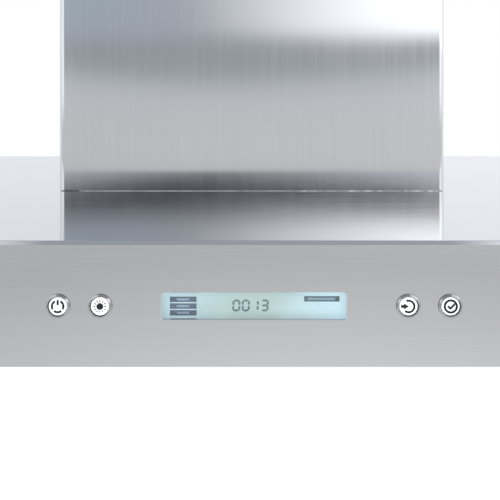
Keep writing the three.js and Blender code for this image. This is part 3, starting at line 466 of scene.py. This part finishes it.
canopy = {
    "sheet": 1.2 * mm, "fold": 2.2 * mm, "topRound": 0.5 * mm, "topFlat": (0.74 * mm, 1.6 * mm),
    "footFold": 0.7 * mm, "flange": 14 * mm, "foldSteps": 6,
    "holeChamfer": 0.25 * mm, "windowHalf": (45.4 * mm, 6.6 * mm), "windowCorner": 0.8 * mm,
    "buttonHole": 5.6 * mm, "buttonX": (-96 * mm, -75.4 * mm, 75.4 * mm, 96 * mm),
    "airHole": (127.9 * mm, -101.9 * mm, 77.9 * mm), "airHoleWiden": (1.002, 1.003),
    "leastFold": 0.25 * mm,
}


def canopyLoop(inset, z):
    radius = max(canopy["fold"] - inset, canopy["leastFold"])
    return roundedLoop(canopyHigh.x - inset, canopyHigh.y - inset, radius, z, canopy["foldSteps"])


def canopyOutside():
    # from the bottom flange up the wall and over the top edge
    top, foot, footFold = canopyHigh.z, canopyLow.z, canopy["footFold"]
    loops = [canopyLoop(canopy["flange"], foot)]
    loops += [canopyLoop(footFold - a, foot + footFold + b)
              for a, b in arcEdge(0, 0, footFold, -90, 0, 4)]
    wallBand = len(loops) - 1
    # the top edge: a narrow leaning flat above the front face, then a small round into the top sheet
    flatDeep, flatTall = canopy["topFlat"]
    lean = math.degrees(math.atan2(flatDeep, flatTall))
    topRound = canopy["topRound"]
    roundDeep = topRound * math.cos(math.radians(lean))
    roundTall = topRound * (1 - math.sin(math.radians(lean)))
    loops.append(canopyLoop(0, top - flatTall - roundTall))
    loops += [canopyLoop(flatDeep + roundDeep - a, top - topRound + b)
              for a, b in arcEdge(0, 0, topRound, lean, 90, 5)]
    return loops, wallBand


def canopyInside():
    top, foot, sheet = canopyHigh.z, canopyLow.z, canopy["sheet"]
    innerFold = canopy["fold"] - sheet
    loops = [canopyLoop(canopy["flange"], foot + sheet), canopyLoop(sheet, foot + sheet)]
    loops += [canopyLoop(sheet + innerFold - a, top - sheet - innerFold + b)
              for a, b in arcEdge(0, 0, innerFold, 0, 90, 3)]
    return loops


def frontCorners(loops, band):
    low, high = loops[band], loops[band + 1]
    return [(p.x, p.z) for p in (low[-1], low[0], high[0], high[-1])]


def fasciaHoles():
    # the display's window and the four button holes, each with its wider chamfered ring
    chamfer, corner = canopy["holeChamfer"], canopy["windowCorner"]
    halfU, halfV = canopy["windowHalf"]
    holes = [(roundedHole(0, fasciaMiddle, halfU, halfV, corner),
              roundedHole(0, fasciaMiddle, halfU + chamfer, halfV + chamfer, corner + chamfer))]
    for x in canopy["buttonX"]:
        holes.append((circlePoints(x, fasciaMiddle, canopy["buttonHole"], 40),
                      circlePoints(x, fasciaMiddle, canopy["buttonHole"] + chamfer, 40)))
    return holes


def buildCanopyShell():
    sheet, chamfer = canopy["sheet"], canopy["holeChamfer"]
    bm = bmesh.new()
    outside, wallBand = canopyOutside()
    inside = canopyInside()
    frontSide = 4 * (canopy["foldSteps"] + 1) - 1
    skinLoops(bm, outside, leaveOut={(wallBand, frontSide)})
    skinLoops(bm, inside, leaveOut={(1, frontSide)})
    skinLoops(bm, [outside[0], inside[0]])
    punchHoles(bm, frontCorners(outside, wallBand), frontCorners(inside, 1), fasciaHoles(),
               lambda u, v, depth: Vector((u, depth - canopyHigh.y, v)), sheet, chamfer)
    reach, front, rear = canopy["airHole"]
    widenU, widenV = canopy["airHoleWiden"]
    airHole = [(-reach, front), (reach, front), (reach, rear), (-reach, rear)]
    widerHole = [(u * widenU, v * widenV) for u, v in airHole]
    punchHoles(bm, [(p.x, p.y) for p in outside[-1]], [(p.x, p.y) for p in inside[-1]],
               [(airHole, widerHole)], lambda u, v, depth: Vector((u, v, canopyHigh.z - depth)),
               sheet, chamfer)
    return finishPiece("canopyShell", bm, [canopySteel], "canopy", ["canopy_shell"],
                       sharpDegrees=20)


chimney = {
    "fold": 6.0 * mm, "sheet": 1.2 * mm, "foldSteps": 8, "edge": 0.25 * mm,
    "ventCount": 5, "ventLength": 150 * mm, "ventHeight": 5 * mm, "ventPitch": 15 * mm, "ventTop": 44.7 * mm,
    "ventCorner": 1.2 * mm, "screwDown": 19.7 * mm, "screwHole": 2.5 * mm,
}


def coverLoop(high, inset, z):
    return roundedLoop(high.x - inset, high.y - inset, chimney["fold"] - inset, z, chimney["foldSteps"])


def buildLowerCover():
    low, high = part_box("lower_chimney_cover")
    sheet, edge = chimney["sheet"], chimney["edge"]
    section = ((sheet, low.z), (edge, low.z), (0, low.z + edge), (0, high.z - edge), (edge, high.z),
               (sheet, high.z), (sheet, low.z))
    bm = bmesh.new()
    skinLoops(bm, [coverLoop(high, inset, z) for inset, z in section])
    return finishPiece("lowerCover", bm, [chimneySteel], "canopy", ["lower_chimney_cover"])


def ventHoles(top):
    # the air slots of one side, and the cover screw's hole
    edge, corner = chimney["edge"], chimney["ventCorner"]
    halfLength, halfHeight = chimney["ventLength"] / 2, chimney["ventHeight"] / 2
    holes = []
    for i in range(chimney["ventCount"]):
        middle = top - chimney["ventTop"] - halfHeight - i * chimney["ventPitch"]
        holes.append((roundedHole(0, middle, halfLength, halfHeight, corner),
                      roundedHole(0, middle, halfLength + edge, halfHeight + edge, corner + edge)))
    screwRow, screwHole = top - chimney["screwDown"], chimney["screwHole"]
    holes.append((circlePoints(0, screwRow, screwHole, 24), circlePoints(0, screwRow, screwHole + edge, 24)))
    return holes


def sideCorners(loops, band, side):
    low, high = loops[band], loops[band + 1]
    return [(p.y, p.z) for p in (low[side], low[side + 1], high[side + 1], high[side])]


def buildUpperCover():
    low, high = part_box("upper_chimney_cover")
    sheet, edge, steps = chimney["sheet"], chimney["edge"], chimney["foldSteps"]
    bm = bmesh.new()
    section = ((sheet, low.z), (edge, low.z), (0, low.z + edge), (0, high.z - edge))
    outside = [coverLoop(high, inset, z) for inset, z in section]
    inside = [coverLoop(high, sheet, low.z), coverLoop(high, sheet, high.z)]
    sides = {1: steps, -1: 3 * steps + 2}       # the flat side faces, right and left
    skinLoops(bm, outside, leaveOut={(2, side) for side in sides.values()})
    skinLoops(bm, inside, leaveOut={(0, side) for side in sides.values()})
    skinLoops(bm, [outside[-1], coverLoop(high, edge, high.z), inside[-1]])
    for sign, side in sides.items():
        punchHoles(bm, sideCorners(outside, 2, side), sideCorners(inside, 0, side), ventHoles(high.z),
                   lambda u, v, depth: Vector((sign * (high.x - depth), u, v)), sheet, edge)
    return finishPiece("upperCover", bm, [chimneySteel], "ceiling_frame", ["upper_chimney_cover"])


seam = {
    "steps": 420, "seed": 7, "leftEnd": 151 * mm, "rightEnd": 166 * mm,
    "proud": 0.45 * mm, "height": 0.5 * mm, "below": 0.28 * mm, "behind": 0.6 * mm,
    "raggedFrom": -20 * mm, "raggedOver": 50 * mm, "raggedLeast": 0.15,
}


def buildSeam():
    # the fine ragged edge of the joint between the chimney's front sheet and the canopy top
    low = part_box("lower_chimney_cover")[0]
    dice = random.Random(seam["seed"])
    bm = bmesh.new()
    rows = []
    for i in range(seam["steps"] + 1):
        x = -seam["leftEnd"] + (seam["leftEnd"] + seam["rightEnd"]) * i / seam["steps"]
        rightward = max(0.0, min(1.0, (x - seam["raggedFrom"]) / seam["raggedOver"]))
        ragged = seam["raggedLeast"] + (1 - seam["raggedLeast"]) * rightward
        proud = seam["proud"] * (0.6 + ragged * dice.uniform(-0.35, 0.4))
        height = seam["height"] * (0.7 + ragged * dice.uniform(-0.4, 0.6))
        foot = low.z - seam["below"]
        y = low.y + seam["behind"]
        section = ((y, foot), (low.y - proud, foot), (low.y - 0.8 * proud, foot + 0.6 * height),
                   (low.y - 0.2 * proud, foot + height), (y, foot + height))
        rows.append([bm.verts.new((x, across, up)) for across, up in section])
    for near, far in zip(rows, rows[1:]):
        bridge(bm, near, far)
    bm.faces.new(rows[0])
    bm.faces.new(rows[-1])
    return finishPiece("footSeam", bm, [seamMetal], "canopy", sharpDegrees=50)


button = {
    "ringOuter": 5.95 * mm, "ringBore": 4.9 * mm, "ringProud": 1.0 * mm, "barrel": 5.3 * mm, "depth": 5 * mm,
    "capRadius": 4.65 * mm, "capProud": 0.5 * mm, "capBack": 6.5 * mm, "dome": 0.05 * mm, "edge": 0.7 * mm,
    "slope": 0.55 * mm, "lip": 0.22 * mm, "lipTurn": 68, "ringFoot": -0.3 * mm,
    "boreLip": ((0.16 * mm, 0.03 * mm), (0.09 * mm, 0.0), (0.0, 0.12 * mm)),
    "capTurn": 75, "capRound": 0.8, "ink": 0.06 * mm, "inkSink": 0.01 * mm,
}


def buildRing(name, x):
    spot = Vector((x, canopyLow.y, fasciaMiddle))
    bm = bmesh.new()
    outer, bore = button["ringOuter"], button["ringBore"]
    front, slope, lip = -button["ringProud"], button["slope"], button["lip"]
    # foot on the rim, rounded outer edge, a cone rising inwards, and a small lip at the cap's bore
    foot, depth = button["ringFoot"], button["depth"]
    profile = [(outer, foot)]
    profile += [(outer - lip + a, front + slope + lip - b)
                for a, b in arcEdge(0, 0, lip, 0, button["lipTurn"], 5)]
    profile += [(bore + out, front + back) for out, back in button["boreLip"]]
    profile += [(bore, depth), (button["barrel"], depth), (button["barrel"], foot), (outer, foot)]
    revolve(bm, profile, spot, steps=64)
    return finishPiece("ring" + name, bm, [ringChrome], "canopy", ["button_ring_" + name.lower()],
                       sharpDegrees=40)


def buildCap(name, x):
    spot = Vector((x, canopyLow.y, fasciaMiddle))
    bm = bmesh.new()
    radius, edge, dome = button["capRadius"], button["edge"], button["dome"]
    front = -button["capProud"]
    profile = [(0.0, front)]
    profile += [(t * (radius - edge), front + dome * t * t) for t in (0.2, 0.4, 0.6, 0.8, 1.0)]
    profile += [(radius - edge + a, front + dome + button["capRound"] * (edge - b))
                for a, b in arcEdge(0, 0, edge, button["capTurn"], 0, 6)]
    profile += [(radius, button["capBack"]), (0.0, button["capBack"])]
    revolve(bm, profile, spot, steps=64)
    return finishPiece("cap" + name, bm, [capWhite], "button_" + name.lower(), ["button_cap_" + name.lower()],
                       sharpDegrees=50)


def inkStroke(bm, points, width, place, closed=False):
    # a flat raised line of constant width through points of (u, v); place gives the front surface
    half = width / 2
    count = len(points)
    left, right = [], []
    for i, (u, v) in enumerate(points):
        before = points[i - 1] if (closed or i > 0) else points[i]
        after = points[(i + 1) % count] if (closed or i < count - 1) else points[i]
        along = Vector((after[0] - before[0], after[1] - before[1])).normalized()
        left.append((u - along.y * half, v + along.x * half))
        right.append((u + along.y * half, v - along.x * half))
    last = count if closed else count - 1
    for i in range(last):
        j = (i + 1) % count
        inkPatch(bm, [left[i], right[i], right[j], left[j]], place)


def inkPatch(bm, outline, place, top=button["ink"], foot=0.0):
    # a raised patch: its face, and a thin wall down to its foot
    faceVerts = [bm.verts.new(place(u, v, top)) for u, v in outline]
    footVerts = [bm.verts.new(place(u, v, foot)) for u, v in outline]
    bm.faces.new(faceVerts)
    bridge(bm, faceVerts, footVerts)


def arcPoints(radius, start, end, steps=28):
    return [(radius * math.cos(math.radians(start + (end - start) * i / steps)),
             radius * math.sin(math.radians(start + (end - start) * i / steps))) for i in range(steps + 1)]


icons = {
    "radius": 2.8 * mm, "stroke": 1.05 * mm, "discRadius": 1.68 * mm, "rayCount": 12, "rayInner": 2.1 * mm,
    "rayOuter": 3.15 * mm, "rayWidth": 0.42 * mm,
    "powerArcs": ((118, 210), (230, 310), (330, 422)), "powerBar": ((0, 3.1 * mm), (0, 0.7 * mm)),
    "enterArc": (-128, 112), "enterBar": ((-3.7 * mm, 0), (-1.7 * mm, 0)), "enterBarWidth": 1.45 * mm,
    "enterHead": ((-2.2 * mm, 1.5 * mm), (-2.2 * mm, -1.5 * mm), (0.1 * mm, 0.0)),
    "confirmRing": 1.05, "tickShort": ((-1.45 * mm, 0.2 * mm), (-0.15 * mm, -1.15 * mm)),
    "tickLong": ((-0.4 * mm, -1.25 * mm), (2.05 * mm, 1.35 * mm)),
}


def powerIcon(bm, place):
    for start, end in icons["powerArcs"]:
        inkStroke(bm, arcPoints(icons["radius"], start, end), icons["stroke"], place)
    inkStroke(bm, icons["powerBar"], icons["stroke"], place)


def lightIcon(bm, place):
    inkPatch(bm, circlePoints(0, 0, icons["discRadius"], 32), place)
    for i in range(icons["rayCount"]):
        angle = 2 * math.pi * i / icons["rayCount"]
        ends = [(r * math.cos(angle), r * math.sin(angle)) for r in (icons["rayInner"], icons["rayOuter"])]
        inkStroke(bm, ends, icons["rayWidth"], place)


def enterIcon(bm, place):
    inkStroke(bm, arcPoints(icons["radius"], *icons["enterArc"]), icons["stroke"], place)
    inkStroke(bm, icons["enterBar"], icons["enterBarWidth"], place)
    inkPatch(bm, icons["enterHead"], place)


def confirmIcon(bm, place):
    ring = arcPoints(icons["radius"] * icons["confirmRing"], 0, 360, 48)[:-1]
    inkStroke(bm, ring, icons["stroke"], place, closed=True)
    inkStroke(bm, icons["tickShort"], icons["stroke"], place)
    inkStroke(bm, icons["tickLong"], icons["stroke"], place)


def buildIcon(name, x, draw):
    bm = bmesh.new()
    front = canopyLow.y - button["capProud"]
    reach = button["capRadius"] - button["edge"]

    def place(u, v, lift):
        dome = button["dome"] * min(1.0, (u * u + v * v) / (reach * reach))
        return Vector((x + u, front + dome + button["inkSink"] - lift, fasciaMiddle + v))

    draw(bm, place)
    return finishPiece("icon" + name, bm, [inkBlack], "button_" + name.lower())


# bars, digits and labels are in millimetres from the window's middle
display = {
    "bars": ((-41.9, 1.95), (-41.9, -1.4), (-41.9, -4.75)), "barSize": (13.3, 2.7),
    "rightBar": (24.8, 2.2, 17.7, 2.7), "ink": 0.06 * mm,
    "digits": ((-10.45, "0"), (-5.75, "0"), (-1.3, "1"), (3.65, "3")), "digitSize": (3.0, 4.9),
    "digitMiddle": -1.1, "stroke": 1.02, "slant": 0.04, "gap": 0.06,
    "labels": ((6, 6.0), (14, 13.5)), "labelHeight": 1.05, "labelShare": 0.62,
    "labelSpan": (0.8, 1.6), "soft": 0.4 * mm, "corner": 0.8 * mm,
}
displayLow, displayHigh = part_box("display_module")
segmentsOf = {"0": "abcdef", "1": "bc", "3": "abcdg"}


def digitPatches(left, kind):
    # seven segments; each is a six-sided bar, (u, v) in millimetres from the digit's lower left
    width, height = display["digitSize"]
    half, gap = display["stroke"] / 2, display["gap"]
    middle = height / 2
    ends = {
        "a": ((0, height), (width, height)), "b": ((width, height), (width, middle)),
        "c": ((width, middle), (width, 0)), "d": ((0, 0), (width, 0)), "e": ((0, middle), (0, 0)),
        "f": ((0, height), (0, middle)), "g": ((0, middle), (width, middle)),
    }
    patches = []
    for segment in segmentsOf[kind]:
        (u0, v0), (u1, v1) = ends[segment]
        flat = v0 == v1
        if flat:
            u0, u1 = u0 + gap, u1 - gap
            shape = [(u0, v0), (u0 + half, v0 - half), (u1 - half, v0 - half), (u1, v0),
                     (u1 - half, v0 + half), (u0 + half, v0 + half)]
        else:
            v0, v1 = v0 - gap, v1 + gap
            shape = [(u0, v0), (u0 - half, v0 - half), (u0 - half, v1 + half), (u0, v1),
                     (u0 + half, v1 + half), (u0 + half, v0 - half)]
        low = display["digitMiddle"] - middle
        patches.append([(left + u + display["slant"] * v, v + low) for u, v in shape])
    return patches


def onDisplay(u, v, lift):
    return Vector((u, displayLow.y - lift, fasciaMiddle + v))


def buildDisplayPanel():
    soft, thick = display["soft"], displayHigh.y - displayLow.y
    halfHeight = (displayHigh.z - displayLow.z) / 2
    loops = []
    for inset, depth in ((soft, 0.0), (0.0, soft), (0.0, thick - soft), (soft, thick)):
        flat = roundedLoop(displayHigh.x - inset, halfHeight - inset, display["corner"], 0, 4)
        loops.append([onDisplay(p.x, p.y, -depth) for p in flat])
    bm = bmesh.new()
    rings = skinLoops(bm, loops)
    bm.faces.new(rings[0])
    bm.faces.new(rings[-1])
    finishPiece("displayPanel", bm, [displayLit], "canopy", ["display_module"])


def buildDisplayInk(name, ink, outlines, top=display["ink"], foot=0.0):
    bm = bmesh.new()
    for outline in outlines:
        inkPatch(bm, [(u * mm, v * mm) for u, v in outline], onDisplay, top, foot)
    finishPiece(name, bm, [ink], "canopy")


def buildDisplay():
    buildDisplayPanel()
    barWidth, barHeight = display["barSize"]
    # short pale dashes stand for the small captions on the bars
    shortLabel, longLabel = display["labels"]
    bars, digits, labels = [], [], []
    for left, middle in display["bars"]:
        bars.append(barOutline(left, middle, barWidth, barHeight))
        labels += captionMarks(left, middle, barWidth, *shortLabel)
    labels += captionMarks(*display["rightBar"][:3], *longLabel)
    for left, kind in display["digits"]:
        digits += digitPatches(left, kind)
    buildDisplayInk("displayBarsLeft", barInkLeft, bars)
    buildDisplayInk("displayBarRight", barInkRight, [barOutline(*display["rightBar"])])
    buildDisplayInk("displayDigits", digitInk, digits)
    foot, top = [share * display["ink"] for share in display["labelSpan"]]
    buildDisplayInk("displayCaptions", labelInk, labels, top, foot)


def captionMarks(left, middle, width, count, length):
    pitch = length / count
    start = left + (width - length) / 2
    return [barOutline(start + i * pitch, middle, pitch * display["labelShare"], display["labelHeight"])
            for i in range(count)]


def barOutline(left, middle, width, height):
    half = height / 2
    return [(left, middle - half), (left + width, middle - half), (left + width, middle + half),
            (left, middle + half)]


buildCanopyShell()
buildLowerCover()
buildUpperCover()
buildSeam()
iconOf = {"Power": powerIcon, "Light": lightIcon, "Enter": enterIcon, "Confirm": confirmIcon}
for (name, draw), x in zip(iconOf.items(), canopy["buttonX"]):
    buildRing(name, x)
    buildCap(name, x)
    buildIcon(name, x, draw)
buildDisplay()
print("own pieces built")


softEdges = {"weld": 0.002 * mm, "bevel": 0.22 * mm, "bevelAngle": 38, "smoothAngle": 33}


def smoothByAngleGroup():
    # shades smooth, with edges sharper than the angle kept hard
    group = bpy.data.node_groups.new("smoothByAngle", "GeometryNodeTree")
    group.interface.new_socket("Geometry", in_out="INPUT", socket_type="NodeSocketGeometry")
    group.interface.new_socket("Geometry", in_out="OUTPUT", socket_type="NodeSocketGeometry")
    nodes, links = group.nodes, group.links
    source = nodes.new("NodeGroupInput")
    sink = nodes.new("NodeGroupOutput")
    angle = nodes.new("GeometryNodeInputMeshEdgeAngle")
    small = nodes.new("FunctionNodeCompare")
    small.data_type = "FLOAT"
    small.operation = "LESS_EQUAL"
    small.inputs["B"].default_value = math.radians(softEdges["smoothAngle"])
    faces = nodes.new("GeometryNodeSetShadeSmooth")
    faces.domain = "FACE"
    edges = nodes.new("GeometryNodeSetShadeSmooth")
    edges.domain = "EDGE"
    links.new(source.outputs[0], faces.inputs["Geometry"])
    links.new(faces.outputs[0], edges.inputs["Geometry"])
    links.new(angle.outputs["Unsigned Angle"], small.inputs["A"])
    links.new(small.outputs[0], edges.inputs["Shade Smooth"])
    links.new(edges.outputs[0], sink.inputs[0])
    return group


smoothGroup = smoothByAngleGroup()


def softenNode(piece):
    weld = piece.modifiers.new("weld", "WELD")
    weld.merge_threshold = softEdges["weld"]
    rounding = piece.modifiers.new("softEdge", "BEVEL")
    rounding.width = softEdges["bevel"]
    rounding.segments = 2
    rounding.limit_method = "ANGLE"
    rounding.angle_limit = math.radians(softEdges["bevelAngle"])
    rounding.use_clamp_overlap = True
    smooth = piece.modifiers.new("smooth", "NODES")
    smooth.node_group = smoothGroup
    weighted = piece.modifiers.new("flatFacesStayFlat", "WEIGHTED_NORMAL")
    weighted.keep_sharp = True


finishes = {
    "brushed_steel": canopySteel, "filter_steel": filterSteel, "galvanised_sheet": zincSheet,
    "screw_steel": screwSteel, "button_ring": ringChrome, "button_cap": capWhite,
    "display_glass": clearWindow, "display_face": displayLit, "circuit_board": boardGreen,
    "black_plastic": blackPlastic, "motor_alloy": motorAlloy, "lamp_trim": lampTrim, "lamp_glass": lampGlass,
}
slotOf = {part["node"]: part["material_slot"] for part in frame["record"]["subparts"]}
for name, node in cadNodes.items():
    if node.hide_render:
        continue
    attribute = node.data.attributes.get("custom_normal")
    if attribute is not None:
        node.data.attributes.remove(attribute)
    node.data.materials.clear()
    node.data.materials.append(finishes[slotOf[name]])
    softenNode(node)
print("remaining parts finished")


floorLook = {
    "dark": (0.88, 0.88, 0.875), "light": (0.93, 0.93, 0.93), "roughness": 0.85, "glow": 0.40,
    "size": 3.2, "z": -1.50, "squares": 24,
}


def buildFloor():
    bm = bmesh.new()
    half, height = floorLook["size"], floorLook["z"]
    steps = floorLook["squares"]
    verts = [[bm.verts.new((-half + 2 * half * i / steps, -half + 2 * half * j / steps, height))
              for i in range(steps + 1)] for j in range(steps + 1)]
    for j in range(steps):
        for i in range(steps):
            bm.faces.new((verts[j][i], verts[j][i + 1], verts[j + 1][i + 1], verts[j + 1][i]))
    mesh = bpy.data.meshes.new("floor")
    bm.to_mesh(mesh)
    bm.free()
    material, tree, shader = startMaterial("paleFloor", floorLook["light"], floorLook["roughness"], 0.0)
    tone = mixColors(tree, noiseAt(tree, (3, 3, 3), 3.0), floorLook["dark"], floorLook["light"])
    tree.links.new(tone, shader.inputs["Base Color"])
    shader.inputs["Emission Color"].default_value = (1, 1, 1, 1)
    shader.inputs["Emission Strength"].default_value = floorLook["glow"]
    mesh.materials.append(material)
    floor = bpy.data.objects.new("floor", mesh)
    sceneCollection.objects.link(floor)
    floor.visible_glossy = False


# brightness of the room by height above the horizon, in degrees: what the steel reflects
roomGain = 1.6      # colours are divided by this in the nodes, and the background gives it back
frontRoom = (
    (-90, 0.87), (-34, 0.79), (-17, 0.54), (-3, 0.66), (4, 0.70), (5.4, 0.52), (6.3, 0.14), (7.2, 0.05),
    (10.5, 0.05), (11.8, 0.25), (13.4, 0.48), (20, 0.48), (30, 0.40), (90, 0.40),
)
openRoom = (
    (-90, 0.87), (-34, 0.79), (-17, 0.54), (-3, 0.66), (4, 0.62), (9, 0.45), (20, 0.48), (30, 0.40),
    (90, 0.40),
)
backRoom = ((-90, 0.85), (-20, 0.80), (0, 0.93), (8, 0.95), (22, 0.95), (36, 0.62), (60, 0.42), (90, 0.40))
roomTints = {
    "front": (1.0, 1.005, 1.02), "frontHigh": (0.96, 1.02, 1.12), "back": (0.93, 0.962, 1.0),
    "sideLeft": (0.965, 0.97, 0.98), "sideRight": (1.05, 1.05, 1.05),
}
roomWalls = {"left": (0.42, 0.49, 0.56), "right": (1.52, 1.55, 1.60), "far": (1.12, 1.15, 1.19)}
# where each part of the room starts and ends: heights in degrees, sides as a share of the direction
room = {
    "openShare": 0.8, "highTint": (0, 7), "front": (-0.12, -0.45), "sides": (-0.4, 0.4),
    "bandMiddle": -0.09, "bandClimb": 3.6, "climbFade": (7.5, 10), "far": (0.43, 0.56), "farUp": (0, 4),
    "right": (-0.14, 0.39), "rightUp": (11.7, 13.7), "rightSlant": 3, "rightFront": (0.0, -0.12),
    "left": (-0.08, -0.40), "leftUp": (10, 14), "wallTop": (19, 27),
}


def roomRamp(tree, elevation, stops):
    ramp = addNode(tree, "ShaderNodeValToRGB", {"Fac": elevation})
    elements = ramp.color_ramp.elements
    for i, (degrees, brightness) in enumerate(stops):
        element = elements[i] if i < 2 else elements.new(upTo(degrees))
        element.position = upTo(degrees)
        element.color = (*[brightness / roomGain] * 3, 1)
    return ramp.outputs["Color"]


def upTo(degrees):
    # heights run from 0 straight down to 1 straight up
    return (degrees + 90) / 180


def tinted(tree, color, tint):
    return mixColors(tree, 1.0, color, tint, "MULTIPLY")


def risingShare(tree, elevation, heights):
    return remap(tree, elevation, upTo(heights[0]), upTo(heights[1]), 0.0, 1.0)


def sideShare(tree, value, ends):
    return remap(tree, value, ends[0], ends[1], 0.0, 1.0)


def product(tree, *values):
    total = values[0]
    for value in values[1:]:
        total = mathOf(tree, "MULTIPLY", total, value)
    return total


def wallColor(name):
    return tuple(c / roomGain for c in roomWalls[name])


def frontOfRoom(tree, elevation, across, lightPath):
    # a dark band above the horizon, whose lower edge climbs towards both sides
    offMiddle = mathOf(tree, "ABSOLUTE", mathOf(tree, "SUBTRACT", across, room["bandMiddle"]))
    fade = mathOf(tree, "SUBTRACT", 1.0, risingShare(tree, elevation, room["climbFade"]))
    climb = product(tree, offMiddle, room["bandClimb"] / 180, fade)
    banded = roomRamp(tree, mathOf(tree, "SUBTRACT", elevation, climb), frontRoom)
    # seen straight in one sheet the room is more open; the corner of two sheets gathers the band
    onceOnly = mathOf(tree, "LESS_THAN", lightPath.outputs["Glossy Depth"], 1.5)
    openShare = product(tree, onceOnly, room["openShare"])
    front = mixColors(tree, openShare, banded, roomRamp(tree, elevation, openRoom))
    tint = mixColors(tree, risingShare(tree, elevation, room["highTint"]), roomTints["front"],
                     roomTints["frontHigh"])
    return tinted(tree, front, tint)


def withWalls(tree, seen, elevation, across, depth, leftFront):
    # a bright wall to the front right, whose foot drops towards the right, and a cool one to the front left
    belowTop = mathOf(tree, "SUBTRACT", 1.0, risingShare(tree, elevation, room["wallTop"]))
    slanted = mathOf(tree, "MULTIPLY_ADD", across, room["rightSlant"] / 180, elevation)
    rightShare = product(tree, sideShare(tree, across, room["right"]), belowTop,
                         risingShare(tree, slanted, room["rightUp"]),
                         sideShare(tree, depth, room["rightFront"]))
    leftShare = product(tree, sideShare(tree, across, room["left"]), belowTop,
                        risingShare(tree, elevation, room["leftUp"]), leftFront)
    seen = mixColors(tree, rightShare, seen, wallColor("right"))
    return mixColors(tree, leftShare, seen, wallColor("left"))


def buildRoom():
    world = bpy.data.worlds.new("studio")
    bpy.context.scene.world = world
    world.use_nodes = True
    tree = world.node_tree
    background = tree.nodes["Background"]
    direction = addNode(tree, "ShaderNodeTexCoord").outputs["Generated"]
    parts = addNode(tree, "ShaderNodeSeparateXYZ", {"Vector": direction})
    across, depth = parts.outputs["X"], parts.outputs["Y"]
    elevation = mathOf(tree, "ARCSINE", parts.outputs["Z"])
    elevation = mathOf(tree, "MULTIPLY_ADD", elevation, 1 / math.pi, 0.5)
    lightPath = addNode(tree, "ShaderNodeLightPath")
    front = frontOfRoom(tree, elevation, across, lightPath)
    farSide = product(tree, sideShare(tree, mathOf(tree, "ABSOLUTE", across), room["far"]),
                      risingShare(tree, elevation, room["farUp"]))
    front = mixColors(tree, farSide, front, wallColor("far"))
    back = tinted(tree, roomRamp(tree, elevation, backRoom), roomTints["back"])
    towardsFront = sideShare(tree, depth, room["front"])
    seen = mixColors(tree, towardsFront, back, front)
    seen = withWalls(tree, seen, elevation, across, depth, mathOf(tree, "SUBTRACT", towardsFront, farSide))
    sideTint = mixColors(tree, sideShare(tree, across, room["sides"]), roomTints["sideLeft"],
                         roomTints["sideRight"])
    seen = tinted(tree, seen, sideTint)
    seen = mixColors(tree, lightPath.outputs["Is Camera Ray"], seen, (1 / roomGain,) * 3)
    tree.links.new(seen, background.inputs["Color"])
    background.inputs["Strength"].default_value = roomGain


lightTarget = (0, -0.1, -0.75)
lights = {
    "key": {"at": (-1.2, -1.8, 0.6), "size": 1.6, "power": 34},
    "fill": {"at": (1.6, -1.2, -0.2), "size": 1.4, "power": 16},
    "under": {"at": (0.3, -0.9, -1.35), "size": 0.9, "power": 5},
}


def buildLights():
    target = Vector(lightTarget)
    for name, look in lights.items():
        data = bpy.data.lights.new(name, "AREA")
        data.shape = "DISK"
        data.size = look["size"]
        data.energy = look["power"]
        lamp = bpy.data.objects.new(name, data)
        lamp.location = look["at"]
        lamp.rotation_euler = (target - lamp.location).to_track_quat("-Z", "Y").to_euler()
        lamp.visible_glossy = False
        lamp.visible_camera = False
        sceneCollection.objects.link(lamp)


# a close, level view from just above the canopy; the shift brings the rim into the frame
cameraLook = {"at": (-0.0027, -0.503, -0.7444), "tipDown": 0.0, "lens": 29.86, "shift": (0.0026, -0.245)}


def buildCamera():
    data = bpy.data.cameras.new("camera")
    data.sensor_width = 36
    data.lens = cameraLook["lens"]
    data.shift_x, data.shift_y = cameraLook["shift"]
    data.clip_start = 0.01
    data.clip_end = 30
    camera = bpy.data.objects.new("camera", data)
    camera.location = cameraLook["at"]
    camera.rotation_euler = (math.radians(90 - cameraLook["tipDown"]), 0, 0)
    sceneCollection.objects.link(camera)
    bpy.context.scene.camera = camera


buildFloor()
buildRoom()
buildLights()
buildCamera()
bpy.context.scene.view_settings.view_transform = "Standard"
bpy.context.scene.view_settings.look = "None"
print("room, lights and camera set")
